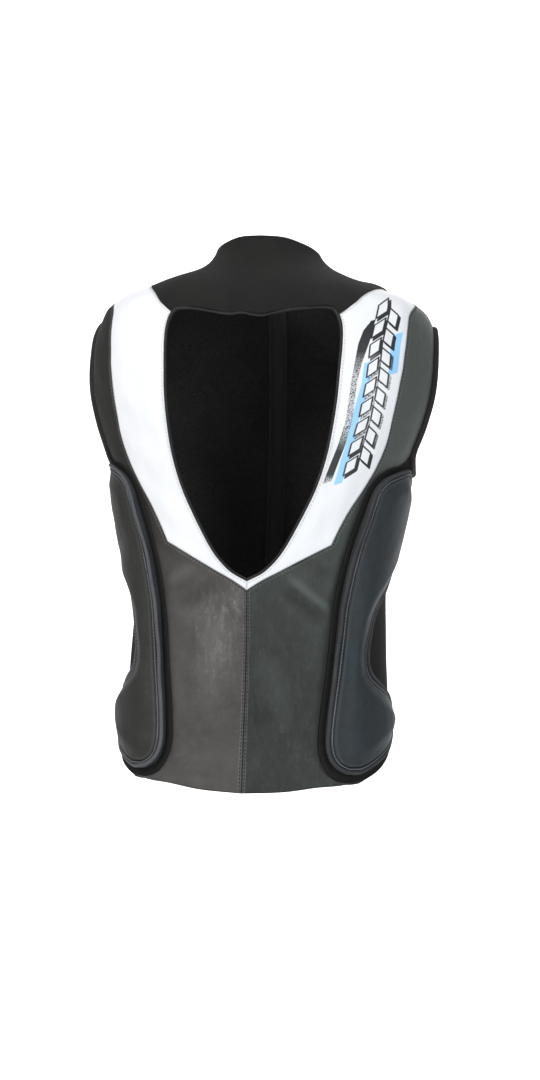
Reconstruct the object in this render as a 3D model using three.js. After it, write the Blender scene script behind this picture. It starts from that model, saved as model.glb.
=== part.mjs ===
// Racing airbag vest in its worn form: leather back and front, neoprene collar, raised airbag
// covers at the sides. Millimetres, +Z up. The back faces -Y and the right half lies towards +X.
// The origin is midway between the shoulders, at the height from which the vest hangs.
import * as THREE from "three";
import { mergeVertices } from "three/addons/utils/BufferGeometryUtils.js";

// Girths and heights
const VEST_LENGTH = 600;
const COLLAR_HEIGHT = 68;
const NECK = { width: 112, depth: 112 };
const SHOULDERS = { width: 408, depth: 248 };
const CHEST = { width: 356, depth: 264 };
const WAIST = { width: 298, depth: 226 };
const HIPS = { width: 330, depth: 246 };

// Teardrop cut-out in the back and the white band under it
const YOKE_DROP = 31;
const OPENING_WIDTH = 208;
const OPENING_HEIGHT = 317;
const VEE_BAND = 10;

// Walls, seams and trims
const LEATHER_WALL = 2.6;
const NEOPRENE_WALL = 3.6;
const STRETCH_WALL = 2;
const SEAM_GAP = 0.6;
const SEAT_GAP = 0.7;
const ZIP_WIDTH = 16;
const ZIP_WALL = 3.2;
const PAD_WALL = 10;
const PAD_CROWN = 7;
const PAD_PIPING_RADIUS = 1.9;
const ARMHOLE_ROLL_RADIUS = 4;
const OPENING_PIPING_RADIUS = 1.6;

// Steps along and across the pieces
const STEPS = {
  centre: 11, vee: 6, outerLow: 10, outerHigh: 3, outerFront: 4, chest: 5,
  openingLow: 6, openingHigh: 10, yokeBack: 3, yokeFront: 9, openingTop: 8,
  sideLow: 17, sideHigh: 6, frontSide: 23, armBack: 7, armFront: 7, armBottom: 9, zip: 21,
  backAcross: 6, whiteAcross: 4, sideAcross: 9, frontAcross: 6, collarUp: 6, zipStrip: 24,
  roundPiping: 5, roundRoll: 6,
};

const FINISHES = {
  leatherBlack: { color: 0x2b2c2f, roughness: 0.55 },
  leatherWhite: { color: 0xe9edf1, roughness: 0.45 },
  neoprene: { color: 0x141416, roughness: 0.92 },
  stretch: { color: 0x19191b, roughness: 0.9 },
  piping: { color: 0x1a1a1c, roughness: 0.6 },
  zip: { color: 0x202022, roughness: 0.5 },
};

// Level sections of the vest. Level is a share of VEST_LENGTH below the shoulders and of
// COLLAR_HEIGHT above them. Half is a share of the girth's width, back and front of its depth.
const SECTIONS = [
  { girth: HIPS, level: -1.034, half: 0.509, back: 0.524, front: 0.496, fullness: 2.4 },
  { girth: HIPS, level: -0.933, half: 0.485, back: 0.496, front: 0.484, fullness: 2.4 },
  { girth: HIPS, level: -0.85, half: 0.47, back: 0.472, front: 0.472, fullness: 2.4 },
  { girth: WAIST, level: -0.767, half: 0.51, back: 0.496, front: 0.5, fullness: 2.4 },
  { girth: WAIST, level: -0.683, half: 0.5, back: 0.5, front: 0.5, fullness: 2.4 },
  { girth: WAIST, level: -0.6, half: 0.498, back: 0.522, front: 0.509, fullness: 2.4 },
  { girth: WAIST, level: -0.517, half: 0.513, back: 0.553, front: 0.527, fullness: 2.4 },
  { girth: CHEST, level: -0.433, half: 0.459, back: 0.5, front: 0.47, fullness: 2.4 },
  { girth: CHEST, level: -0.35, half: 0.5, back: 0.519, front: 0.481, fullness: 2.4 },
  { girth: CHEST, level: -0.275, half: 0.545, back: 0.523, front: 0.474, fullness: 2.4 },
  { girth: SHOULDERS, level: -0.208, half: 0.498, back: 0.548, front: 0.488, fullness: 2.4 },
  { girth: SHOULDERS, level: -0.142, half: 0.5, back: 0.524, front: 0.464, fullness: 2.35 },
  { girth: SHOULDERS, level: -0.087, half: 0.49, back: 0.492, front: 0.436, fullness: 2.3 },
  { girth: SHOULDERS, level: -0.063, half: 0.478, back: 0.472, front: 0.419, fullness: 2.25 },
  { girth: SHOULDERS, level: -0.043, half: 0.458, back: 0.452, front: 0.403, fullness: 2.2 },
  { girth: SHOULDERS, level: -0.027, half: 0.424, back: 0.432, front: 0.387, fullness: 2.15 },
  { girth: SHOULDERS, level: 0, half: 0.331, back: 0.387, front: 0.343, fullness: 2.1 },
  { girth: SHOULDERS, level: 0.13, half: 0.268, back: 0.355, front: 0.31, fullness: 2.05 },
  { girth: SHOULDERS, level: 0.29, half: 0.202, back: 0.319, front: 0.278, fullness: 2 },
  { girth: NECK, level: 0.5, half: 0.571, back: 0.625, front: 0.536, fullness: 2 },
  { girth: NECK, level: 0.735, half: 0.5, back: 0.563, front: 0.464, fullness: 2 },
  { girth: NECK, level: 1.03, half: 0.46, back: 0.536, front: 0.41, fullness: 2 },
];

// Cut-out edge from its tip up to the corner under the yoke: shares of half OPENING_WIDTH and
// of OPENING_HEIGHT below the yoke.
const OPENING_EDGE = [
  { out: 0, down: 1 },
  { out: 0.19, down: 0.965 },
  { out: 0.345, down: 0.913 },
  { out: 0.45, down: 0.86 },
  { out: 0.64, down: 0.74 },
  { out: 0.755, down: 0.655 },
  { out: 0.86, down: 0.545 },
  { out: 0.925, down: 0.435 },
  { out: 0.965, down: 0.335 },
  { out: 0.985, down: 0.235 },
  { out: 1, down: 0.13 },
  { out: 0.985, down: 0.055 },
  { out: 0.945, down: 0.018 },
];

// Lower border of the white band, from the middle of the back out to its corner, in the same
// shares as the cut-out and VEE_BAND lower.
const VEE_EDGE = [
  { out: 0, down: 1 },
  { out: 0.163, down: 0.965 },
  { out: 0.375, down: 0.927 },
  { out: 0.615, down: 0.883 },
  { out: 0.913, down: 0.829 },
];

// Outer border of the white panel up to the shoulder: out is a share of the section's half width.
const WHITE_OUTER = [
  { out: 0.654, level: -0.477 },
  { out: 0.706, level: -0.437 },
  { out: 0.765, level: -0.397 },
  { out: 0.81, level: -0.35 },
  { out: 0.822, level: -0.31 },
  { out: 0.816, level: -0.252 },
  { out: 0.822, level: -0.197 },
  { out: 0.835, level: -0.162 },
  { out: 0.849, level: -0.123 },
  { out: 0.872, level: -0.083 },
  { out: 0.912, level: -0.053 },
  { out: 1, level: -0.025 },
];

// Routes by angle from the spine in degrees, 90 at the shoulder ridge and 180 at the front.
const WHITE_OUTER_FRONT = [
  { angle: 104, level: -0.035 },
  { angle: 117, level: -0.07 },
  { angle: 126, level: -0.115 },
  { angle: 130, level: -0.158 },
];
const CHEST_SEAM = [
  { angle: 148, level: -0.171 },
  { angle: 164, level: -0.178 },
];
const YOKE_SIDE = [
  { angle: 33.7, level: -0.045 },
  { angle: 45.6, level: -0.022 },
  { angle: 64, level: -0.007 },
];
const YOKE_FRONT = [
  { angle: 110, level: -0.012 },
  { angle: 135, level: -0.04 },
  { angle: 158, level: -0.068 },
];
const YOKE_FRONT_LEVEL = -0.08;
const CHEST_SEAM_LEVEL = -0.18;
const SIDE_SEAM = [
  { angle: 54.5, level: -0.963 },
  { angle: 43, level: -0.966 },
  { angle: 33.4, level: -0.95 },
  { angle: 28.5, level: -0.92 },
  { angle: 27.6, level: -0.895 },
  { angle: 28.6, level: -0.845 },
  { angle: 31.8, level: -0.742 },
  { angle: 35.8, level: -0.617 },
  { angle: 40.2, level: -0.53 },
  { angle: 45, level: -0.43 },
  { angle: 48.6, level: -0.375 },
  { angle: 54, level: -0.351 },
  { angle: 62, level: -0.339 },
];
const FRONT_SEAM = [
  { angle: 105, level: -0.88 },
  { angle: 105, level: -0.7 },
  { angle: 106, level: -0.55 },
  { angle: 109, level: -0.42 },
];
const HEM_BACK = [
  { angle: 0, level: -0.99 },
  { angle: 14, level: -0.985 },
  { angle: 27.7, level: -0.976 },
  { angle: 40, level: -0.972 },
];
const HEM_SIDE = [
  { angle: 68, level: -0.945 },
  { angle: 80, level: -0.925 },
  { angle: 92, level: -0.9 },
];
const HEM_FRONT = [
  { angle: 122, level: -0.867 },
  { angle: 145, level: -0.861 },
];
const HEM_FRONT_LEVEL = -0.858;

// Armhole loop, from its back lower corner up over the shoulder and down the front.
const ARMHOLE = [
  { angle: 76, level: -0.325 },
  { angle: 76.5, level: -0.267 },
  { angle: 78, level: -0.208 },
  { angle: 80.5, level: -0.15 },
  { angle: 84.5, level: -0.1 },
  { angle: 93, level: -0.071 },
  { angle: 109, level: -0.098 },
  { angle: 117, level: -0.14 },
  { angle: 120.5, level: -0.19 },
  { angle: 121, level: -0.24 },
  { angle: 119, level: -0.29 },
  { angle: 114, level: -0.333 },
  { angle: 106, level: -0.358 },
  { angle: 96, level: -0.366 },
  { angle: 85, level: -0.354 },
];
const ARMHOLE_ROWS = { shoulder: 5, frontCorner: 11 };

// Rows where a line passes the corner of the white band, or the cut-out's upper corner.
const TURNING_ROWS = { openingEdge: 4, sideSeam: 8, whiteOuter: 9 };

// Raised side pad, level by level from its top to its foot: angles of its two edges.
const SIDE_PAD = [
  { level: -0.353, near: 73.5, far: 79 },
  { level: -0.362, near: 66, far: 84.5 },
  { level: -0.371, near: 59.5, far: 88.5 },
  { level: -0.381, near: 56, far: 92 },
  { level: -0.396, near: 53.2, far: 95.5 },
  { level: -0.42, near: 51.6, far: 98.5 },
  { level: -0.455, near: 50, far: 99.5 },
  { level: -0.5, near: 47.4, far: 99 },
  { level: -0.545, near: 45, far: 94 },
  { level: -0.575, near: 43.6, far: 86 },
  { level: -0.6, near: 42.3, far: 77 },
  { level: -0.63, near: 40.8, far: 68.5 },
  { level: -0.68, near: 39.2, far: 62 },
  { level: -0.725, near: 37.6, far: 59 },
  { level: -0.755, near: 36.5, far: 60.5 },
  { level: -0.77, near: 35.9, far: 65 },
  { level: -0.781, near: 35.5, far: 71.5 },
  { level: -0.793, near: 35, far: 79 },
  { level: -0.81, near: 34.4, far: 86.5 },
  { level: -0.835, near: 33.5, far: 90.5 },
  { level: -0.868, near: 32.5, far: 89.5 },
  { level: -0.89, near: 32.2, far: 84.5 },
  { level: -0.909, near: 32.7, far: 76 },
  { level: -0.927, near: 34.2, far: 65.5 },
  { level: -0.94, near: 37, far: 57.5 },
  { level: -0.95, near: 42, far: 49.5 },
];
// The pad's cross-section: rise is a share of PAD_CROWN above the wall, wall a share of PAD_WALL.
const PAD_SECTION = [
  { across: 0, rise: 0, wall: 1 },
  { across: 0.07, rise: 0.5, wall: 1 },
  { across: 0.18, rise: 0.8, wall: 1 },
  { across: 0.31, rise: 0.95, wall: 1 },
  { across: 0.44, rise: 1, wall: 1 },
  { across: 0.57, rise: 0.98, wall: 0.97 },
  { across: 0.7, rise: 0.9, wall: 0.9 },
  { across: 0.82, rise: 0.72, wall: 0.78 },
  { across: 0.93, rise: 0.45, wall: 0.62 },
  { across: 1, rise: 0, wall: 0.5 },
];
const PAD_END_ROWS = 3;
const PAD_END_COLUMNS = [3, 6];

// Collar's top edge: height is a share of COLLAR_HEIGHT.
const COLLAR_TOP = [
  { angle: 0, height: 0.86 },
  { angle: 24, height: 0.84 },
  { angle: 48, height: 0.75 },
  { angle: 90, height: 0.6 },
  { angle: 135, height: 0.44 },
  { angle: 180, height: 0.36 },
];

const DEGREE = Math.PI / 180;
const MEAN_REACH = CHEST.width / 2;
const NORMAL_STEP = { bearing: 1e-3, height: 1 };
const MERGE_DISTANCE = 1e-4;
const FINE_STEPS = 12;
const COLUMN_FINE_STEPS = 36;

// Smooth value of a table's column at a place in its key column, rows in rising order.
function tableAt(rows, key, column, place) {
  let i = 0;
  while (i < rows.length - 2 && place > rows[i + 1][key]) i += 1;
  const span = (j) => rows[j + 1][key] - rows[j][key];
  const slope = (j) => (rows[j + 1][column] - rows[j][column]) / span(j);
  const knot = (j) => {
    if (j === 0) return slope(0);
    if (j === rows.length - 1) return slope(j - 1);
    return (slope(j - 1) * span(j) + slope(j) * span(j - 1)) / (span(j - 1) + span(j));
  };
  const t = (place - rows[i][key]) / span(i);
  const [t2, t3] = [t * t, t * t * t];
  return rows[i][column] * (2 * t3 - 3 * t2 + 1) + knot(i) * span(i) * (t3 - 2 * t2 + t)
    + rows[i + 1][column] * (3 * t2 - 2 * t3) + knot(i + 1) * span(i) * (t3 - t2);
}

function heightAt(level) {
  return level < 0 ? level * VEST_LENGTH : level * COLLAR_HEIGHT;
}

const FORM = SECTIONS.map((row) => ({
  z: heightAt(row.level),
  half: row.half * row.girth.width,
  back: row.back * row.girth.depth,
  front: row.front * row.girth.depth,
  fullness: row.fullness,
}));

function sectionAt(z) {
  const value = (column) => tableAt(FORM, "z", column, z);
  return { half: value("half"), back: value("back"), front: value("front"), fullness: value("fullness") };
}

// Point on the inner face of the vest at a bearing from the spine (0 back, pi front) and a height.
function skin(bearing, z) {
  const form = sectionAt(z);
  const [side, away] = [Math.sin(bearing), Math.cos(bearing)];
  const depth = away > 0 ? form.back : form.front;
  const power = form.fullness;
  const sum = Math.abs(side / form.half) ** power + Math.abs(away / depth) ** power;
  const reach = sum ** (-1 / power);
  return new THREE.Vector3(reach * side, -reach * away, z);
}

function outward(bearing, z) {
  const { bearing: turn, height } = NORMAL_STEP;
  const round = skin(bearing + turn, z).sub(skin(bearing - turn, z));
  const up = skin(bearing, z + height).sub(skin(bearing, z - height));
  return round.cross(up).normalize();
}

function lifted(place, offset) {
  return skin(place.x, place.y).addScaledVector(outward(place.x, place.y), offset);
}

// A place is a Vector2 of bearing and height on the form that the sections give.
function placeAtAngle(degrees, z) {
  const form = sectionAt(z);
  const power = 2 / form.fullness;
  const [side, away] = [Math.sin(degrees * DEGREE), Math.cos(degrees * DEGREE)];
  const depth = away > 0 ? form.back : form.front;
  const x = form.half * Math.abs(side) ** power;
  const y = Math.sign(away) * depth * Math.abs(away) ** power;
  return new THREE.Vector2(Math.atan2(x, y), z);
}

function placeAtHalf(x, z, onFront = false) {
  const form = sectionAt(z);
  const share = Math.min(1, Math.abs(x) / form.half);
  const depth = onFront ? -form.front : form.back;
  const y = depth * (1 - share ** form.fullness) ** (1 / form.fullness);
  return new THREE.Vector2(Math.atan2(Math.abs(x), y), z);
}

const byAngle = (row) => placeAtAngle(row.angle, heightAt(row.level));
const byHalf = (row) => placeAtHalf(row.out * sectionAt(heightAt(row.level)).half, heightAt(row.level));
const inOpening = (row) => placeAtHalf(
  row.out * OPENING_WIDTH / 2, -YOKE_DROP - row.down * OPENING_HEIGHT);
const underOpening = (row) => placeAtHalf(
  row.out * OPENING_WIDTH / 2, -YOKE_DROP - row.down * OPENING_HEIGHT - VEE_BAND);
const zipEdgeAt = (z) => placeAtHalf(ZIP_WIDTH / 2, z, true);
const byZip = (level) => zipEdgeAt(heightAt(level));

// Equal steps along a line of places.
function walk(places, steps) {
  const points = places.map((place) => skin(place.x, place.y));
  const along = [0];
  for (let i = 1; i < points.length; i += 1) {
    along.push(along[i - 1] + points[i].distanceTo(points[i - 1]));
  }
  const total = along[along.length - 1];
  const stops = [];
  let i = 0;
  for (let step = 0; step <= steps; step += 1) {
    const goal = total * step / steps;
    while (i < along.length - 2 && along[i + 1] < goal) i += 1;
    stops.push(places[i].clone().lerp(places[i + 1], (goal - along[i]) / (along[i + 1] - along[i])));
  }
  return stops;
}

// Smooth line through places, in equal steps. Bearing is weighted so that both ways are lengths.
function smooth(places, steps, closed = false, from = 0, to = places.length - 1) {
  const knots = places.map((place) => new THREE.Vector3(place.x * MEAN_REACH, place.y, 0));
  const curve = new THREE.CatmullRomCurve3(knots, closed, "centripetal");
  const spans = closed ? places.length : places.length - 1;
  const count = (to - from) * FINE_STEPS;
  const fine = [];
  for (let i = 0; i <= count; i += 1) {
    const point = curve.getPoint(Math.min(1, (from + i / FINE_STEPS) / spans));
    fine.push(new THREE.Vector2(point.x / MEAN_REACH, point.y));
  }
  return walk(fine, steps);
}

// A line in two stretches of their own step, which meet at one of its rows.
function smoothInTwo(places, middle, lowSteps, highSteps) {
  const low = smooth(places, lowSteps, false, 0, middle);
  return joined(low, smooth(places, highSteps, false, middle));
}

function straight(from, to, steps) {
  return Array.from({ length: steps + 1 }, (_, i) => from.clone().lerp(to, i / steps));
}

function joined(...legs) {
  return legs.reduce((line, leg) => line.concat(line.length ? leg.slice(1) : leg), []);
}

function reversed(line) {
  return [...line].reverse();
}

// The same line on the left half, in the other direction.
function acrossSpine(line) {
  return reversed(line).map((place) => new THREE.Vector2(-place.x, place.y));
}

// Seam and edge lines of the right half
const armholePlaces = ARMHOLE.map(byAngle);
const { shoulder, frontCorner } = ARMHOLE_ROWS;
const armBack = smooth(armholePlaces, STEPS.armBack, true, 0, shoulder);
const armFront = reversed(smooth(armholePlaces, STEPS.armFront, true, shoulder, frontCorner));
const armBottom = reversed(smooth(armholePlaces, STEPS.armBottom, true, frontCorner, ARMHOLE.length));

const openingEdge = smoothInTwo(
  OPENING_EDGE.map(inOpening), TURNING_ROWS.openingEdge, STEPS.openingLow, STEPS.openingHigh);
const openingCorner = openingEdge[openingEdge.length - 1];
const openingTop = smooth(
  [openingCorner, placeAtHalf(0, -YOKE_DROP), ...acrossSpine([openingCorner])], STEPS.openingTop);
const ridgeAtYoke = placeAtAngle(90, 0);
const yokeBack = smooth([openingCorner, ...YOKE_SIDE.map(byAngle), ridgeAtYoke], STEPS.yokeBack);
const yokeFront = smooth(
  [ridgeAtYoke, ...YOKE_FRONT.map(byAngle), byZip(YOKE_FRONT_LEVEL)], STEPS.yokeFront);

const veeEdge = smooth(VEE_EDGE.map(underOpening), STEPS.vee);
const veeCorner = veeEdge[veeEdge.length - 1];
const whiteOuter = smoothInTwo(
  [veeCorner, ...WHITE_OUTER.map(byHalf)], TURNING_ROWS.whiteOuter, STEPS.outerLow, STEPS.outerHigh);
const ridgeAtWhite = whiteOuter[whiteOuter.length - 1];
const whiteOuterFront = smooth([ridgeAtWhite, ...WHITE_OUTER_FRONT.map(byAngle)], STEPS.outerFront);
const chestCorner = whiteOuterFront[whiteOuterFront.length - 1];
const chestSeam = smooth(
  [chestCorner, ...CHEST_SEAM.map(byAngle), byZip(CHEST_SEAM_LEVEL)], STEPS.chest);

const sideSeam = smoothInTwo(
  [...SIDE_SEAM.map(byAngle), armBack[0]], TURNING_ROWS.sideSeam, STEPS.sideLow, STEPS.sideHigh);
const frontSeam = smooth([...FRONT_SEAM.map(byAngle), armFront[0]], STEPS.frontSide);
const hemBack = smooth([...HEM_BACK.map(byAngle), sideSeam[0]], STEPS.backAcross);
const hemSide = smooth([sideSeam[0], ...HEM_SIDE.map(byAngle), frontSeam[0]], STEPS.sideAcross);
const hemFront = smooth(
  [frontSeam[0], ...HEM_FRONT.map(byAngle), byZip(HEM_FRONT_LEVEL)], STEPS.frontAcross);
const centreSeam = straight(hemBack[0], veeEdge[0], STEPS.centre);
const zipEdge = straight(byZip(HEM_FRONT_LEVEL), byZip(CHEST_SEAM_LEVEL), STEPS.zip)
  .map((place) => zipEdgeAt(place.y));

// Grid of places inside four border lines: near and far run the same way, start and end join them.
function patch(near, far, start, end) {
  const rows = near.length - 1;
  const columns = start.length - 1;
  return near.map((first, r) => start.map((_, c) => {
    const [u, v] = [c / columns, r / rows];
    const place = first.clone().lerp(far[r], u);
    const startBow = start[c].clone().sub(near[0].clone().lerp(far[0], u));
    const endBow = end[c].clone().sub(near[rows].clone().lerp(far[rows], u));
    return place.addScaledVector(startBow, 1 - v).addScaledVector(endBow, v);
  }));
}

// The grid's border moved in by half a seam's gap.
function seamAllowance(grid) {
  const rows = grid.length - 1;
  const columns = grid[0].length - 1;
  const pulled = (edge, inner) => {
    const reach = skin(edge.x, edge.y).distanceTo(skin(inner.x, inner.y));
    return inner.clone().sub(edge).multiplyScalar(SEAM_GAP / 2 / reach);
  };
  return grid.map((row, r) => row.map((place, c) => {
    const moved = place.clone();
    if (r === 0) moved.add(pulled(place, grid[1][c]));
    if (r === rows) moved.add(pulled(place, grid[rows - 1][c]));
    if (c === 0) moved.add(pulled(place, row[1]));
    if (c === columns) moved.add(pulled(place, row[columns - 1]));
    return moved;
  }));
}

// Closed wall between an inner and an outer grid of points.
function wallBody(inner, outer) {
  const rows = inner.length;
  const columns = inner[0].length;
  const positions = [];
  for (const grid of [outer, inner]) {
    for (const row of grid) {
      for (const point of row) positions.push(point.x, point.y, point.z);
    }
  }
  const at = (layer, r, c) => (layer * rows + r) * columns + c;
  const faces = [];
  const corner = (i) => new THREE.Vector3().fromArray(positions, i * 3);
  const apart = (i, j) => corner(i).distanceTo(corner(j));
  const quad = (a, b, c, d) => {
    if (apart(a, c) <= apart(b, d)) faces.push(a, b, c, a, c, d);
    else faces.push(a, b, d, b, c, d);
  };
  for (let r = 0; r < rows - 1; r += 1) {
    for (let c = 0; c < columns - 1; c += 1) {
      quad(at(0, r, c), at(0, r, c + 1), at(0, r + 1, c + 1), at(0, r + 1, c));
      quad(at(1, r, c), at(1, r + 1, c), at(1, r + 1, c + 1), at(1, r, c + 1));
    }
    quad(at(0, r, 0), at(0, r + 1, 0), at(1, r + 1, 0), at(1, r, 0));
    const end = columns - 1;
    quad(at(0, r + 1, end), at(0, r, end), at(1, r, end), at(1, r + 1, end));
  }
  for (let c = 0; c < columns - 1; c += 1) {
    quad(at(0, 0, c + 1), at(0, 0, c), at(1, 0, c), at(1, 0, c + 1));
    quad(at(0, rows - 1, c), at(0, rows - 1, c + 1), at(1, rows - 1, c + 1), at(1, rows - 1, c));
  }
  return closedGeometry(positions, faces);
}

// Geometry with its faces turned outwards.
function closedGeometry(positions, faces) {
  const geometry = new THREE.BufferGeometry();
  geometry.setAttribute("position", new THREE.Float32BufferAttribute(positions, 3));
  geometry.setIndex(signedVolume(positions, faces) < 0 ? flipped(faces) : faces);
  const merged = mergeVertices(geometry, MERGE_DISTANCE);
  merged.computeVertexNormals();
  return merged;
}

function flipped(faces) {
  const turned = [];
  for (let i = 0; i < faces.length; i += 3) turned.push(faces[i], faces[i + 2], faces[i + 1]);
  return turned;
}

function signedVolume(positions, faces) {
  const corner = (i) => new THREE.Vector3().fromArray(positions, faces[i] * 3);
  let sum = 0;
  for (let i = 0; i < faces.length; i += 3) {
    sum += corner(i).dot(corner(i + 1).cross(corner(i + 2)));
  }
  return sum / 6;
}

// Panel of even thickness, with seam gaps round it.
function panel(grid, wall) {
  const inset = seamAllowance(grid);
  const layer = (offset) => inset.map((row) => row.map((place) => lifted(place, offset)));
  return wallBody(layer(0), layer(wall));
}

// Roll or cord along a closed line of stops, each with a point, its outward and its side direction.
function roll(stops, radius, sides) {
  const positions = [];
  for (const stop of stops) {
    for (let k = 0; k < sides; k += 1) {
      const turn = (k + 0.5) / sides * 2 * Math.PI;
      const point = stop.point.clone()
        .addScaledVector(stop.out, radius * Math.sin(turn))
        .addScaledVector(stop.side, radius * Math.cos(turn));
      positions.push(point.x, point.y, point.z);
    }
  }
  const faces = [];
  stops.forEach((_, i) => {
    const next = (i + 1) % stops.length;
    for (let k = 0; k < sides; k += 1) {
      const turn = (k + 1) % sides;
      faces.push(i * sides + k, next * sides + k, next * sides + turn);
      faces.push(i * sides + k, next * sides + turn, i * sides + turn);
    }
  });
  return closedGeometry(positions, faces);
}

// Stops of a roll along a closed line of places, at a height over each and a shift to its inside.
function rollStops(places, heights, shift) {
  const points = places.map((place) => lifted(place, 0));
  const middle = points.reduce((sum, point) => sum.add(point), new THREE.Vector3())
    .divideScalar(points.length);
  return places.map((place, i) => {
    const next = points[(i + 1) % points.length];
    const last = points[(i + points.length - 1) % points.length];
    const out = outward(place.x, place.y);
    const side = next.clone().sub(last).cross(out).normalize();
    if (side.dot(middle.clone().sub(points[i])) < 0) side.negate();
    const point = points[i].clone().addScaledVector(out, heights[i]).addScaledVector(side, shift);
    return { point, out, side };
  });
}

function mirrored(geometry) {
  const copy = geometry.clone();
  copy.scale(-1, 1, 1);
  copy.setIndex(flipped(Array.from(copy.index.array)));
  copy.computeVertexNormals();
  return copy;
}

const group = new THREE.Group();

function add(name, geometry, finish) {
  const material = new THREE.MeshStandardMaterial({ ...FINISHES[finish], metalness: 0 });
  const mesh = new THREE.Mesh(geometry, material);
  mesh.name = name;
  group.add(mesh);
}

function addPair(name, geometry, finish) {
  add(`${name}_right`, geometry, finish);
  add(`${name}_left`, mirrored(geometry), finish);
}

function backPanel() {
  const near = joined(centreSeam, veeEdge, whiteOuter);
  const far = joined(sideSeam, armBack);
  const ridge = straight(ridgeAtWhite, armBack[STEPS.armBack], STEPS.backAcross);
  return panel(patch(near, far, hemBack, ridge), LEATHER_WALL);
}

function whitePanel() {
  const near = joined(openingEdge, yokeBack, yokeFront);
  const far = joined(veeEdge, whiteOuter, whiteOuterFront, chestSeam);
  const middle = straight(near[0], far[0], STEPS.whiteAcross);
  const front = straight(near[near.length - 1], far[far.length - 1], STEPS.whiteAcross);
  return panel(patch(near, far, middle, front), LEATHER_WALL);
}

function sidePanel() {
  return panel(patch(sideSeam, frontSeam, hemSide, armBottom), STRETCH_WALL);
}

function frontPanel() {
  const near = joined(frontSeam, armFront);
  const far = joined(zipEdge, reversed(chestSeam), reversed(whiteOuterFront));
  const ridge = straight(near[near.length - 1], far[far.length - 1], STEPS.frontAcross);
  return panel(patch(near, far, hemFront, ridge), LEATHER_WALL);
}

// Collar and yoke in one, round the neck from one side of the front fastening to the other.
function collarYoke() {
  const half = reversed(joined(yokeBack, yokeFront));
  const border = joined(half, openingTop, acrossSpine(half));
  const grid = border.map((place) => {
    const angle = Math.abs(place.x) / DEGREE;
    const rim = new THREE.Vector2(place.x, tableAt(COLLAR_TOP, "angle", "height", angle) * COLLAR_HEIGHT);
    return walk(straight(place, rim, COLUMN_FINE_STEPS).map(besideZip), STEPS.collarUp);
  });
  return panel(grid, NEOPRENE_WALL);
}

// A place kept clear of the front fastening.
function besideZip(place) {
  const edge = zipEdgeAt(place.y).x;
  return new THREE.Vector2(THREE.MathUtils.clamp(place.x, -edge, edge), place.y);
}

function frontZip() {
  const levels = straight(
    new THREE.Vector2(0, heightAt(HEM_FRONT_LEVEL)),
    new THREE.Vector2(0, COLLAR_TOP[COLLAR_TOP.length - 1].height * COLLAR_HEIGHT),
    STEPS.zipStrip,
  );
  const grid = levels.map((level) => {
    const edge = zipEdgeAt(level.y);
    const other = new THREE.Vector2(2 * Math.PI - edge.x, edge.y);
    return [edge, edge.clone().lerp(other, 0.5), other];
  });
  return panel(grid, ZIP_WALL);
}

// Raised pad: a wall that stands on the side panel and a crowned face.
const padRows = SIDE_PAD.map((row) => {
  const z = heightAt(row.level);
  const [near, far] = [placeAtAngle(row.near, z), placeAtAngle(row.far, z)];
  return PAD_SECTION.map((part) => near.clone().lerp(far, part.across));
});
const PAD_SEAT = STRETCH_WALL + SEAT_GAP;
const LAST_PAD_ROW = SIDE_PAD.length - 1;
const LAST_PAD_COLUMN = PAD_SECTION.length - 1;

// Height of the pad's face over the form. The crown rises over the first and last few rows.
function padHeight(row, column) {
  const { rise, wall } = PAD_SECTION[column];
  const ends = Math.min(1, row / PAD_END_ROWS, (LAST_PAD_ROW - row) / PAD_END_ROWS);
  return PAD_SEAT + PAD_WALL * wall + PAD_CROWN * rise * Math.sqrt(ends * (2 - ends));
}

function sidePad() {
  const foot = padRows.map((row) => row.map((place) => lifted(place, PAD_SEAT)));
  const face = padRows.map((row, r) => row.map((place, c) => lifted(place, padHeight(r, c))));
  return wallBody(foot, face);
}

// Cord round the pad's face, just outside its wall.
function padPiping() {
  const rim = [];
  for (let row = 0; row <= LAST_PAD_ROW; row += 1) rim.push({ row, column: 0 });
  for (const column of PAD_END_COLUMNS) rim.push({ row: LAST_PAD_ROW, column });
  for (let row = LAST_PAD_ROW; row >= 0; row -= 1) rim.push({ row, column: LAST_PAD_COLUMN });
  for (const column of reversed(PAD_END_COLUMNS)) rim.push({ row: 0, column });
  const places = rim.map(({ row, column }) => padRows[row][column]);
  const heights = rim.map(({ row, column }) => padHeight(row, column));
  const stops = rollStops(places, heights, -PAD_PIPING_RADIUS - SEAT_GAP);
  return roll(stops, PAD_PIPING_RADIUS, STEPS.roundPiping);
}

// Roll or cord that lies inside a hole of the leather, level with the middle of its wall.
function edgeRoll(loop, radius, sides) {
  const heights = loop.map(() => LEATHER_WALL / 2);
  return roll(rollStops(loop, heights, radius), radius, sides);
}

function armholeEdge() {
  const loop = joined(armBack, reversed(armFront), reversed(armBottom)).slice(0, -1);
  return edgeRoll(loop, ARMHOLE_ROLL_RADIUS, STEPS.roundRoll);
}

function openingPiping() {
  const loop = joined(openingEdge, openingTop, acrossSpine(openingEdge)).slice(0, -1);
  return edgeRoll(loop, OPENING_PIPING_RADIUS, STEPS.roundPiping);
}

add("collar_yoke", collarYoke(), "neoprene");
addPair("white_panel", whitePanel(), "leatherWhite");
addPair("back_panel", backPanel(), "leatherBlack");
addPair("side_panel", sidePanel(), "stretch");
addPair("front_panel", frontPanel(), "leatherBlack");
add("front_zip", frontZip(), "zip");
addPair("side_pad", sidePad(), "leatherBlack");
addPair("pad_piping", padPiping(), "piping");
addPair("armhole_edge", armholeEdge(), "leatherBlack");
add("opening_piping", openingPiping(), "piping");

export default group;
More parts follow.
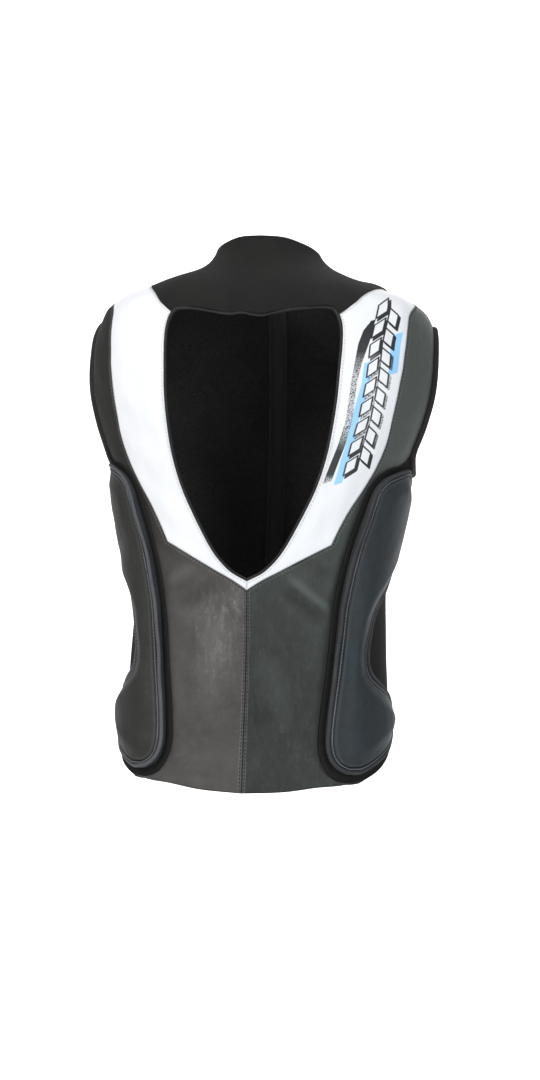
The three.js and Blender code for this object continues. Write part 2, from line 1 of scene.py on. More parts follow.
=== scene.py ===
"""The finished look of a racing airbag vest in its worn form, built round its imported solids.

Metres, +Z up. The back faces -Y and the right half lies towards +X.
"""
import math
from collections import namedtuple

import bmesh
import bpy
import numpy as np
from mathutils import Matrix, Vector
from mathutils.bvhtree import BVHTree


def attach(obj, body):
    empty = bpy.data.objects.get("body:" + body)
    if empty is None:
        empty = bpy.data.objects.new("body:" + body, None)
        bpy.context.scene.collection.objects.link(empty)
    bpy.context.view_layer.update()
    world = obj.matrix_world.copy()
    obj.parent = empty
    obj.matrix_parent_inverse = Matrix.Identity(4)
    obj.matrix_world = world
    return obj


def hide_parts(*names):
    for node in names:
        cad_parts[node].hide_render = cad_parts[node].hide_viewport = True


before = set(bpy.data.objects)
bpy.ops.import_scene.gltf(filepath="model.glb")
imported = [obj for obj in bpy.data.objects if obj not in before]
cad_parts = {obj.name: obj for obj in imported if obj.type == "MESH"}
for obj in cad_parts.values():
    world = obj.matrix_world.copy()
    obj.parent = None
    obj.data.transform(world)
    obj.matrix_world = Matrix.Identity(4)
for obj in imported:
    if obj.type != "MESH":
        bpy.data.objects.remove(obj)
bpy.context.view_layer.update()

Girth = namedtuple("Girth", "width depth")
Section = namedtuple("Section", "girth level half back front fullness")
Edge = namedtuple("Edge", "out down")
Outer = namedtuple("Outer", "out level")
Stop = namedtuple("Stop", "angle level")
PadRow = namedtuple("PadRow", "level near far")
PadPart = namedtuple("PadPart", "across rise wall")
Rim = namedtuple("Rim", "angle height")

# Girths and heights
VEST_LENGTH = 0.600
COLLAR_HEIGHT = 0.068
NECK = Girth(0.112, 0.112)
SHOULDERS = Girth(0.408, 0.248)
CHEST = Girth(0.356, 0.264)
WAIST = Girth(0.298, 0.226)
HIPS = Girth(0.330, 0.246)

# Teardrop cut-out in the back and the white band under it
YOKE_DROP = 0.031
OPENING_WIDTH = 0.208
OPENING_HEIGHT = 0.317
VEE_BAND = 0.010

# Walls, seams and trims
LEATHER_WALL = 0.0026
NEOPRENE_WALL = 0.0036
STRETCH_WALL = 0.002
SEAM_OVERLAP = 0.0003
ZIP_WIDTH = 0.016
ZIP_WALL = 0.0032
PAD_WALL = 0.010
PAD_CROWN = 0.007
PAD_SEAT = 0.0022
PANEL_BEVEL = 0.0009
BEVEL_ANGLE = math.radians(50)
PAD_FIRST_GROOVE = 0.0036
PAD_WELT = 0.0051
PAD_BORDER = 0.0067
ARMHOLE_ROLL_RADIUS = 0.004
OPENING_PIPING_RADIUS = 0.0016
STITCH_INSET = 0.0029
STITCH_PITCH = 0.0042

# Level sections of the vest. Level is a share of VEST_LENGTH below the shoulders and of
# COLLAR_HEIGHT above them. Half is a share of the girth's width, back and front of its depth.
SECTIONS = [
    Section(HIPS, -1.034, 0.509, 0.524, 0.496, 2.4),
    Section(HIPS, -0.933, 0.485, 0.496, 0.484, 2.4),
    Section(HIPS, -0.85, 0.47, 0.472, 0.472, 2.4),
    Section(WAIST, -0.767, 0.51, 0.496, 0.5, 2.4),
    Section(WAIST, -0.683, 0.5, 0.5, 0.5, 2.4),
    Section(WAIST, -0.6, 0.498, 0.522, 0.509, 2.4),
    Section(WAIST, -0.517, 0.513, 0.553, 0.527, 2.4),
    Section(CHEST, -0.433, 0.459, 0.5, 0.47, 2.4),
    Section(CHEST, -0.35, 0.5, 0.519, 0.481, 2.4),
    Section(CHEST, -0.275, 0.545, 0.523, 0.474, 2.4),
    Section(SHOULDERS, -0.208, 0.498, 0.548, 0.488, 2.4),
    Section(SHOULDERS, -0.142, 0.5, 0.524, 0.464, 2.35),
    Section(SHOULDERS, -0.087, 0.49, 0.492, 0.436, 2.3),
    Section(SHOULDERS, -0.063, 0.478, 0.472, 0.419, 2.25),
    Section(SHOULDERS, -0.043, 0.458, 0.452, 0.403, 2.2),
    Section(SHOULDERS, -0.027, 0.424, 0.432, 0.387, 2.15),
    Section(SHOULDERS, 0, 0.331, 0.387, 0.343, 2.1),
    Section(SHOULDERS, 0.13, 0.268, 0.355, 0.31, 2.05),
    Section(SHOULDERS, 0.29, 0.202, 0.319, 0.278, 2),
    Section(NECK, 0.5, 0.571, 0.625, 0.536, 2),
    Section(NECK, 0.735, 0.5, 0.563, 0.464, 2),
    Section(NECK, 1.03, 0.46, 0.536, 0.41, 2),
]

# Cut-out edge from its tip up to the corner under the yoke: shares of half OPENING_WIDTH and
# of OPENING_HEIGHT below the yoke.
OPENING_EDGE = [
    Edge(0, 1), Edge(0.19, 0.965), Edge(0.345, 0.913), Edge(0.45, 0.86), Edge(0.64, 0.74),
    Edge(0.755, 0.655), Edge(0.86, 0.545), Edge(0.925, 0.435), Edge(0.965, 0.335),
    Edge(0.985, 0.235), Edge(1, 0.13), Edge(0.985, 0.055), Edge(0.945, 0.018),
]
# Lower border of the white band in the same shares, VEE_BAND lower.
VEE_EDGE = [
    Edge(0, 1), Edge(0.163, 0.965), Edge(0.375, 0.927), Edge(0.615, 0.883), Edge(0.913, 0.829),
]
# Outer border of the white panel: out is a share of the section's half width.
WHITE_OUTER = [
    Outer(0.654, -0.477), Outer(0.706, -0.437), Outer(0.765, -0.397), Outer(0.81, -0.35),
    Outer(0.822, -0.31), Outer(0.816, -0.252), Outer(0.822, -0.197), Outer(0.835, -0.162),
    Outer(0.849, -0.123), Outer(0.872, -0.083), Outer(0.912, -0.053), Outer(1, -0.025),
]
# Lower edge of the yoke over the cut-out, wavy, from the right to the left: out as above, down
# in shares of YOKE_DROP.
YOKE_LOWER_EDGE = [
    Edge(0.9, 0.97), Edge(0.84, 0.9), Edge(0.75, 0.884), Edge(0.63, 0.916), Edge(0.39, 1.02),
    Edge(0.19, 1.165), Edge(0.085, 1.245), Edge(-0.14, 1.15), Edge(-0.26, 1.21), Edge(-0.47, 1.11),
    Edge(-0.66, 1.006), Edge(-0.82, 0.99), Edge(-0.9, 1.04),
]
# Routes by angle from the spine in degrees, 90 at the shoulder ridge and 180 at the front.
WHITE_OUTER_FRONT = [
    Stop(104, -0.035), Stop(117, -0.07), Stop(126, -0.115), Stop(130, -0.158),
]
CHEST_SEAM = [Stop(148, -0.171), Stop(164, -0.178)]
CHEST_SEAM_LEVEL = -0.18
YOKE_SIDE = [Stop(33.7, -0.045), Stop(45.6, -0.022), Stop(64, -0.007)]
YOKE_FRONT = [Stop(110, -0.012), Stop(135, -0.04), Stop(158, -0.068)]
YOKE_FRONT_LEVEL = -0.08
SIDE_SEAM = [
    Stop(54.5, -0.963), Stop(43, -0.966), Stop(34.4, -0.952), Stop(29.9, -0.922),
    Stop(28.9, -0.895), Stop(30.0, -0.845), Stop(34.0, -0.742), Stop(38.5, -0.617),
    Stop(43.1, -0.53), Stop(48.7, -0.43), Stop(51.1, -0.393), Stop(54.6, -0.372),
    Stop(60.5, -0.359), Stop(68, -0.349),
]
FRONT_SEAM = [Stop(105, -0.88), Stop(105, -0.7), Stop(106, -0.55), Stop(109, -0.42)]
HEM_BACK = [Stop(0, -0.99), Stop(14, -0.985), Stop(27.7, -0.976), Stop(40, -0.972)]
HEM_SIDE = [Stop(68, -0.945), Stop(80, -0.925), Stop(92, -0.9)]
HEM_FRONT = [Stop(122, -0.867), Stop(145, -0.861)]
HEM_FRONT_LEVEL = -0.858
# Armhole loop, from its back lower corner up over the shoulder and down the front.
ARMHOLE = [
    Stop(76, -0.325), Stop(76.5, -0.267), Stop(78, -0.208), Stop(80.5, -0.15), Stop(84.5, -0.1),
    Stop(93, -0.071), Stop(109, -0.098), Stop(117, -0.14), Stop(120.5, -0.19), Stop(121, -0.24),
    Stop(119, -0.29), Stop(114, -0.333), Stop(106, -0.358), Stop(96, -0.366), Stop(85, -0.354),
]
ARMHOLE_SHOULDER_ROW = 5
ARMHOLE_FRONT_ROW = 11

# Raised side pad, level by level from its top to its foot: angles of its two edges.
SIDE_PAD = [
    PadRow(-0.353, 73.5, 79), PadRow(-0.362, 66, 84.5), PadRow(-0.371, 59.5, 88.5),
    PadRow(-0.381, 56, 92), PadRow(-0.396, 53.2, 95.5), PadRow(-0.42, 51.6, 98.5),
    PadRow(-0.455, 50, 99.5), PadRow(-0.5, 47.4, 99), PadRow(-0.545, 45, 94),
    PadRow(-0.575, 43.6, 86), PadRow(-0.6, 42.3, 77), PadRow(-0.63, 40.8, 68.5),
    PadRow(-0.68, 39.2, 62), PadRow(-0.725, 37.6, 59), PadRow(-0.755, 36.5, 60.5),
    PadRow(-0.77, 35.9, 65), PadRow(-0.781, 35.5, 71.5), PadRow(-0.793, 35, 79),
    PadRow(-0.81, 34.4, 86.5), PadRow(-0.835, 33.5, 90.5), PadRow(-0.868, 32.5, 89.5),
    PadRow(-0.89, 32.2, 84.5), PadRow(-0.909, 32.7, 76), PadRow(-0.927, 34.2, 65.5),
    PadRow(-0.94, 37, 57.5), PadRow(-0.95, 42, 49.5),
]
# The pad's cross-section: rise is a share of PAD_CROWN above the wall, wall a share of PAD_WALL.
PAD_SECTION = [
    PadPart(0, 0, 1), PadPart(0.07, 0.5, 1), PadPart(0.18, 0.8, 1), PadPart(0.31, 0.95, 1),
    PadPart(0.44, 1, 1), PadPart(0.57, 0.98, 0.97), PadPart(0.7, 0.9, 0.9),
    PadPart(0.82, 0.72, 0.78), PadPart(0.93, 0.45, 0.62), PadPart(1, 0, 0.5),
]
# Collar's top edge: height is a share of COLLAR_HEIGHT.
COLLAR_TOP = [
    Rim(0, 0.86), Rim(24, 0.84), Rim(48, 0.75), Rim(90, 0.6), Rim(135, 0.44), Rim(180, 0.36),
]

MEAN_REACH = CHEST.width / 2
TO_LENGTHS = np.array([MEAN_REACH, 1])
MIRROR = np.array([-1, 1])
FORM_STEP = 0.001
FORM_SPAN = (-0.64, 0.0705)
FINE_STEPS = 12


# The form that the vest hangs on

def ease(value):
    value = np.clip(value, 0, 1)
    return value * value * (3 - 2 * value)


def bell(off, width):
    return np.exp(-(off / width) ** 2)


class Ridge(namedtuple("Ridge", "height width")):
    """A rounded ridge, or a groove where its height is negative."""

    def at(self, off):
        return self.height * bell(off, self.width)


def smooth_value(rows, key, column, place):
    """Smooth value of a table's column at a place in its key column, rows in rising order."""
    keys = [getattr(row, key) for row in rows]
    values = [getattr(row, column) for row in rows]
    last = len(rows) - 1
    i = 0
    while i < last - 1 and place > keys[i + 1]:
        i += 1

    def span(j):
        return keys[j + 1] - keys[j]

    def slope(j):
        return (values[j + 1] - values[j]) / span(j)

    def knot(j):
        if j == 0:
            return slope(0)
        if j == last:
            return slope(last - 1)
        return (slope(j - 1) * span(j) + slope(j) * span(j - 1)) / (span(j - 1) + span(j))

    t = (place - keys[i]) / span(i)
    rise = knot(i) * span(i) * (t**3 - 2 * t**2 + t) + knot(i + 1) * span(i) * (t**3 - t**2)
    return values[i] * (2 * t**3 - 3 * t**2 + 1) + values[i + 1] * (3 * t**2 - 2 * t**3) + rise


def height_at(level):
    return level * VEST_LENGTH if level < 0 else level * COLLAR_HEIGHT


Level = namedtuple("Level", "z half back front fullness")
LEVELS = [
    Level(
        height_at(row.level),
        row.half * row.girth.width,
        row.back * row.girth.depth,
        row.front * row.girth.depth,
        row.fullness,
    )
    for row in SECTIONS
]
form_heights = np.arange(FORM_SPAN[0], FORM_SPAN[1], FORM_STEP)
form_columns = {
    column: np.array([smooth_value(LEVELS, "z", column, z) for z in form_heights])
    for column in ("half", "back", "front", "fullness")
}


def section(column, height):
    return np.interp(height, form_heights, form_columns[column])


def skin(bearing, height):
    """Points on the vest's inner face at bearings, 0 at the spine and pi in front, and heights."""
    side, away = np.sin(bearing), np.cos(bearing)
    depth = np.where(away > 0, section("back", height), section("front", height))
    power = section("fullness", height)
    total = np.abs(side / section("half", height)) ** power + np.abs(away / depth) ** power
    reach = total ** (-1 / power)
    return np.stack([reach * side, -reach * away, height + 0 * side], axis=-1)


def outward(bearing, height):
    turn, rise = 1e-3, 1e-3
    across = skin(bearing + turn, height) - skin(bearing - turn, height)
    up = skin(bearing, height + rise) - skin(bearing, height - rise)
    normal = np.cross(across, up)
    return normal / np.linalg.norm(normal, axis=-1, keepdims=True)


def on_form(places, offset=0.0):
    """Points over places, which hold a bearing and a height each, at an offset outwards."""
    bearing, height = places[..., 0], places[..., 1]
    lift = np.broadcast_to(np.asarray(offset, float), bearing.shape)
    return skin(bearing, height) + outward(bearing, height) * lift[..., None]


def place_of(points):
    return np.stack([np.arctan2(points[..., 0], -points[..., 1]), points[..., 2]], axis=-1)


def at_angle(degrees, height):
    power = 2 / section("fullness", height)
    side, away = math.sin(math.radians(degrees)), math.cos(math.radians(degrees))
    depth = section("back" if away > 0 else "front", height)
    x = section("half", height) * abs(side) ** power
    y = math.copysign(depth * abs(away) ** power, away)
    return np.array([math.atan2(x, y), height])


def at_half(x, height, on_front=False):
    half, power = section("half", height), section("fullness", height)
    depth = -section("front", height) if on_front else section("back", height)
    y = depth * (1 - min(1, abs(x) / half) ** power) ** (1 / power)
    return np.array([math.atan2(abs(x), y), height])


def by_angle(row):
    return at_angle(row.angle, height_at(row.level))


def by_half(row):
    height = height_at(row.level)
    return at_half(row.out * section("half", height), height)


def in_opening(row, lower=0.0):
    return at_half(row.out * OPENING_WIDTH / 2, -YOKE_DROP - row.down * OPENING_HEIGHT - lower)


def zip_edge(height):
    return at_half(ZIP_WIDTH / 2, height, on_front=True)


def by_zip(level):
    return zip_edge(height_at(level))


# Lines of places

def arc(points):
    """How far along a line of points each of them lies."""
    return np.concatenate([[0], np.cumsum(np.linalg.norm(np.diff(points, axis=0), axis=1))])


def sampled(goals, along, rows):
    """Rows of values read off at goals, given how far along each row lies."""
    return np.stack([np.interp(goals, along, column) for column in rows.T], axis=-1)


def walk(places, steps):
    """Equal steps along a line of places."""
    places = np.asarray(places)
    along = arc(skin(places[:, 0], places[:, 1]))
    return sampled(np.linspace(0, along[-1], steps + 1), along, places)


def spline(knots, closed, first, last):
    """Fine points of a centripetal curve through knots, from one knot's number to another's."""
    knots = np.asarray(knots, float)
    count = len(knots)

    def knot(i):
        if closed:
            return knots[i % count]
        if i < 0:
            return 2 * knots[0] - knots[1]
        if i >= count:
            return 2 * knots[-1] - knots[-2]
        return knots[i]

    points = []
    for i in range(first, last):
        before, start, end, after = (knot(i + k) for k in (-1, 0, 1, 2))
        pairs = ((before, start), (start, end), (end, after))
        low, gap, high = (math.sqrt(np.linalg.norm(b - a)) for a, b in pairs)
        leave = (start - before) / low - (end - before) / (low + gap) + (end - start) / gap
        arrive = (end - start) / gap - (after - start) / (gap + high) + (after - end) / high
        leave, arrive = leave * gap, arrive * gap
        for k in range(FINE_STEPS):
            t = k / FINE_STEPS
            points.append(
                start + leave * t + (3 * end - 3 * start - 2 * leave - arrive) * t**2
                + (2 * start - 2 * end + leave + arrive) * t**3
            )
    points.append(knot(last))
    return np.array(points)


def smooth(places, steps, closed=False, first=0, last=None):
    """Smooth line through places, in equal steps. Both ways are made lengths first."""
    last = len(places) - 1 if last is None else last
    return walk(spline(np.asarray(places) * TO_LENGTHS, closed, first, last) / TO_LENGTHS, steps)


def smooth_in_two(places, middle, low_steps, high_steps):
    low = smooth(places, low_steps, last=middle)
    return joined(low, smooth(places, high_steps, first=middle))


def straight(start, end, steps):
    share = np.linspace(0, 1, steps + 1)[:, None]
    return np.asarray(start) * (1 - share) + np.asarray(end) * share


def joined(*legs):
    return np.concatenate([legs[0]] + [leg[1:] for leg in legs[1:]])


def across_spine(line):
    """The same line on the left half, in the other direction."""
    return line[::-1] * MIRROR


FINER = 6
STEPS = {
    "centre": 11, "vee": 6, "outer_low": 10, "outer_high": 3, "outer_front": 4, "chest": 5,
    "opening_low": 6, "opening_high": 10, "yoke_back": 3, "yoke_front": 9, "opening_top": 12,
    "side_low": 17, "side_high": 6, "front_side": 23, "arm_back": 7, "arm_front": 7,
    "arm_bottom": 9, "zip": 21, "back_across": 6, "white_across": 4, "side_across": 9,
    "front_across": 7, "collar_up": 6, "zip_strip": 24,
}
STEPS = {name: steps * FINER for name, steps in STEPS.items()}

arm_places = [by_angle(row) for row in ARMHOLE]
arm_back = smooth(arm_places, STEPS["arm_back"], True, 0, ARMHOLE_SHOULDER_ROW)
arm_front = smooth(
    arm_places, STEPS["arm_front"], True, ARMHOLE_SHOULDER_ROW, ARMHOLE_FRONT_ROW)[::-1]
arm_bottom = smooth(
    arm_places, STEPS["arm_bottom"], True, ARMHOLE_FRONT_ROW, len(ARMHOLE))[::-1]

opening_edge = smooth_in_two(
    [in_opening(row) for row in OPENING_EDGE], 4, STEPS["opening_low"], STEPS["opening_high"])
opening_corner = opening_edge[-1]
opening_top = smooth([
    opening_corner,
    *[at_half(row.out * OPENING_WIDTH / 2, -YOKE_DROP * row.down) * (np.sign(row.out), 1)
      for row in YOKE_LOWER_EDGE],
    opening_corner * MIRROR,
], STEPS["opening_top"])
ridge_at_yoke = at_angle(90, 0)
yoke_back = smooth(
    [opening_corner, *map(by_angle, YOKE_SIDE), ridge_at_yoke], STEPS["yoke_back"])
yoke_front = smooth(
    [ridge_at_yoke, *map(by_angle, YOKE_FRONT), by_zip(YOKE_FRONT_LEVEL)], STEPS["yoke_front"])
vee_edge = smooth([in_opening(row, VEE_BAND) for row in VEE_EDGE], STEPS["vee"])
white_outer = smooth_in_two(
    [vee_edge[-1], *map(by_half, WHITE_OUTER)], 9, STEPS["outer_low"], STEPS["outer_high"])
white_outer_front = smooth(
    [white_outer[-1], *map(by_angle, WHITE_OUTER_FRONT)], STEPS["outer_front"])
chest_seam = smooth(
    [white_outer_front[-1], *map(by_angle, CHEST_SEAM), by_zip(CHEST_SEAM_LEVEL)], STEPS["chest"])
side_seam = smooth_in_two(
    [*map(by_angle, SIDE_SEAM), arm_back[0]], 8, STEPS["side_low"], STEPS["side_high"])
front_seam = smooth([*map(by_angle, FRONT_SEAM), arm_front[0]], STEPS["front_side"])
hem_back = smooth([*map(by_angle, HEM_BACK), side_seam[0]], STEPS["back_across"])
hem_side = smooth([side_seam[0], *map(by_angle, HEM_SIDE), front_seam[0]], STEPS["side_across"])
hem_front = smooth(
    [front_seam[0], *map(by_angle, HEM_FRONT), by_zip(HEM_FRONT_LEVEL)], STEPS["front_across"])
centre_seam = straight(hem_back[0], vee_edge[0], STEPS["centre"])
zip_line = np.array([
    zip_edge(place[1])
    for place in straight(by_zip(HEM_FRONT_LEVEL), by_zip(CHEST_SEAM_LEVEL), STEPS["zip"])
])


def patch(near, far, start, end):
    """Grid of places inside four border lines: near and far run the same way."""
    u = np.linspace(0, 1, len(start))[None, :, None]
    v = np.linspace(0, 1, len(near))[:, None, None]
    across = near[:, None] * (1 - u) + far[:, None] * u
    start_bow = start[None] - (near[0] * (1 - u) + far[0] * u)
    end_bow = end[None] - (near[-1] * (1 - u) + far[-1] * u)
    return across + start_bow * (1 - v) + end_bow * v


def lengths(points):
    """Distances along a grid's rows and along its columns, each from the grid's first border."""
    across = np.linalg.norm(np.diff(points, axis=1), axis=2)
    along = np.linalg.norm(np.diff(points, axis=0), axis=2)
    u = np.concatenate([np.zeros((len(points), 1)), np.cumsum(across, axis=1)], axis=1)
    v = np.concatenate([np.zeros((1, points.shape[1])), np.cumsum(along, axis=0)], axis=0)
    return u, v


def with_allowance(places):
    """The grid's border moved out by half of the overlap at a seam."""
    moved = places.copy()
    for edge, inner in (
        (np.s_[0], np.s_[1]), (np.s_[-1], np.s_[-2]),
        (np.s_[:, 0], np.s_[:, 1]), (np.s_[:, -1], np.s_[:, -2]),
    ):
        a, b = places[edge], places[inner]
        gap = skin(a[:, 0], a[:, 1]) - skin(b[:, 0], b[:, 1])
        reach = np.linalg.norm(gap, axis=1, keepdims=True)
        moved[edge] -= (b - a) * SEAM_OVERLAP / 2 / reach
    return moved


# Meshes

def grid_mesh(points, u, v, marks=None):
    """A bmesh grid whose vertices are moved to points, with UVs in metres and named marks."""
    rows, columns = points.shape[0] - 1, points.shape[1] - 1
    bm = bmesh.new()
    bm.loops.layers.uv.new("surface")
    bmesh.ops.create_grid(bm, x_segments=columns, y_segments=rows, size=0.5)
    layers = {name: bm.verts.layers.float.new(name) for name in (marks or {})}
    uv = bm.loops.layers.uv["surface"]
    index = {}
    for vertex in bm.verts:
        column = round((vertex.co.x + 0.5) * columns)
        row = round((vertex.co.y + 0.5) * rows)
        index[vertex] = (row, column)
        vertex.co = Vector(points[row, column])
        for name, layer in layers.items():
            vertex[layer] = float(marks[name][row, column])
    for face in bm.faces:
        face.smooth = True
        for loop in face.loops:
            row, column = index[loop.vert]
            loop[uv].uv = (u[row, column], v[row, column])
    return bm


def finished(name, bm, materials):
    """A bmesh made an object at the origin."""
    mesh = bpy.data.meshes.new(name)
    bm.to_mesh(mesh)
    bm.free()
    piece = bpy.data.objects.new(name, mesh)
    bpy.context.scene.collection.objects.link(piece)
    for material in materials:
        mesh.materials.append(material)
    return piece


def belongs(piece, slot, *nodes):
    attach(piece, "root")
    if nodes:
        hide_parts(*nodes)


def thicken(piece, wall, edge=PANEL_BEVEL):
    """A wall inwards from a panel's face, with a lining and a turned edge."""
    solid = piece.modifiers.new("wall", "SOLIDIFY")
    solid.thickness = wall
    solid.offset = -1
    solid.material_offset = 1
    solid.material_offset_rim = 1
    solid.use_even_offset = False
    bevel = piece.modifiers.new("turned_edge", "BEVEL")
    bevel.width = edge
    bevel.segments = 3
    bevel.limit_method = "ANGLE"
    bevel.angle_limit = BEVEL_ANGLE


surfaces = {}
FAR_OFF = 1.0


def panel(name, places, wall, relief, cover, slot, left=False, marks=None, sewn=None):
    """A cloth or leather panel over a grid of places, with its relief and wall; its flat width and
    area are worked out but not kept.

    Its mesh carries the distances to its nearest border, to the border that is sewn with a row
    of stitches and to the one that is tucked under a pad."""
    places = with_allowance(places)
    u, v = lengths(on_form(places, wall))
    near, far = u, u[:, -1:] - u
    seam = np.minimum.reduce([near, far, v, v[-1:] - v])
    if left:
        places = places[:, ::-1] * MIRROR
        u, v, seam, near, far = (grid[:, ::-1] for grid in (u, v, seam, near, far))
    points = on_form(places, wall + relief(places, seam, far))
    none = np.full_like(u, FAR_OFF)
    row, tucked = {"near": (near, far), "far": (far, none), None: (none, none)}[sewn]
    layers = {"seam": seam, "sewn": row, "tucked": tucked}
    if marks is not None:
        layers.update(marks(points))
    piece = finished(name, grid_mesh(points, u, v, layers), [cover, lining_dark])
    thicken(piece, wall)
    surfaces[name] = points
    width = float(u.max(axis=1).mean())
    area = sum(face.area for face in piece.data.polygons)
    belongs(piece, slot, name)
    area / width


def closed_up(line):
    """A line with its first row again at its end."""
    return np.concatenate([line, line[:1]])


def tube(name, centres, outs, sides, radii, around, material):
    """A closed roll or cord swept along a line, its section an ellipse of two radii."""
    out_radius, side_radius = (
        closed_up(np.broadcast_to(radius, len(centres)))[:, None] for radius in radii)
    centres, outs, sides = (closed_up(line)[:, None] for line in (centres, outs, sides))
    turns = np.linspace(0, 2 * math.pi, around + 1)
    points = (
        centres
        + outs * (out_radius * np.sin(turns))[..., None]
        + sides * (side_radius * np.cos(turns))[..., None]
    )
    _, v = lengths(points)
    u = np.broadcast_to(turns[None] * side_radius.mean(), v.shape)
    bm = grid_mesh(points, u, np.broadcast_to(v.mean(axis=1, keepdims=True), v.shape))
    bmesh.ops.remove_doubles(bm, verts=bm.verts, dist=1e-6)
    bmesh.ops.recalc_face_normals(bm, faces=bm.faces)
    return finished(name, bm, [material])


def frames_along(places, heights, shift):
    """Centres, outward and sideways directions of a roll along a closed line of places.

    A positive shift moves it towards the loop's inside."""
    points = on_form(places)
    out = outward(places[:, 0], places[:, 1])
    side = np.cross(np.roll(points, -1, axis=0) - np.roll(points, 1, axis=0), out)
    side /= np.linalg.norm(side, axis=1, keepdims=True)
    inwards = np.sign(np.einsum("ij,ij->i", side, points.mean(axis=0) - points))
    side *= inwards[:, None]
    lift = np.broadcast_to(np.asarray(heights, float), (len(points),))
    return points + out * lift[:, None] + side * shift, out, side


# Where the vest is seen from: behind it, a little to its right, with a slight roll

PHOTO_WIDTH, PHOTO_HEIGHT = 540, 1080
METRES_PER_PIXEL = 0.0012
CAMERA_REACH = 3.5
CAMERA_TURN = math.radians(7.5)
CAMERA_ROLL = math.radians(1.33)
ORIGIN_COLUMN = 261.8
AIM_HEIGHT = -0.3
AIM_SHIFT = (PHOTO_WIDTH / 2 - ORIGIN_COLUMN) * METRES_PER_PIXEL


def viewpoint():
    """Directions forward, right and up of the picture, and the point it is aimed at."""
    forward = Vector((-math.sin(CAMERA_TURN), math.cos(CAMERA_TURN), 0))
    level = Vector((math.cos(CAMERA_TURN), math.sin(CAMERA_TURN), 0))
    up = Vector((0, 0, 1))
    right = level * math.cos(CAMERA_ROLL) + up * math.sin(CAMERA_ROLL)
    top = up * math.cos(CAMERA_ROLL) - level * math.sin(CAMERA_ROLL)
    aim = Vector((0, 0, AIM_HEIGHT)) + right * AIM_SHIFT
    return forward, right, top, aim


# Finishes

MIX_A, MIX_B, MIX_RESULT = 6, 7, 2


class Amount:
    """A number that a shader works out at each place, with plain arithmetic on it."""

    def __init__(self, finish, socket):
        self.finish, self.socket = finish, socket

    def step(self, kind, *others):
        """One arithmetic step, such as MAXIMUM, FLOOR or SINE."""
        return self.finish.arithmetic(kind, self, *others)

    def __add__(self, other):
        return self.step("ADD", other)

    def __sub__(self, other):
        return self.step("SUBTRACT", other)

    def __rsub__(self, other):
        return self.finish.arithmetic("SUBTRACT", other, self)

    def __mul__(self, other):
        return self.step("MULTIPLY", other)

    def __truediv__(self, other):
        return self.step("DIVIDE", other)

    def __abs__(self):
        return self.step("ABSOLUTE")

    def ranged(self, low, high, to_low=0.0, to_high=1.0, smooth=False):
        node = self.finish.add("ShaderNodeMapRange")
        if smooth:
            node.interpolation_type = "SMOOTHSTEP"
        self.finish.join(self, node.inputs["Value"])
        sockets = ("From Min", "From Max", "To Min", "To Max")
        for socket, number in zip(sockets, (low, high, to_low, to_high)):
            node.inputs[socket].default_value = number
        return Amount(self.finish, node.outputs["Result"])

    def falling(self, low, high, smooth=False):
        """One up to the low end of a range and nothing past its high end."""
        return self.ranged(low, high, 1, 0, smooth)

    def between(self, low, high, soft=0.0004):
        """One inside a range and nothing outside it, with soft ends."""
        return self.ranged(low - soft, low + soft) * self.falling(high - soft, high + soft)

    def bell(self, middle, width):
        """One at the middle of a range and falling softly away from it."""
        off = (self - middle) / width
        return self.finish.arithmetic("POWER", math.e, off * off * -1)

    def wave(self, pitch):
        return (self * (2 * math.pi / pitch)).step("SINE")


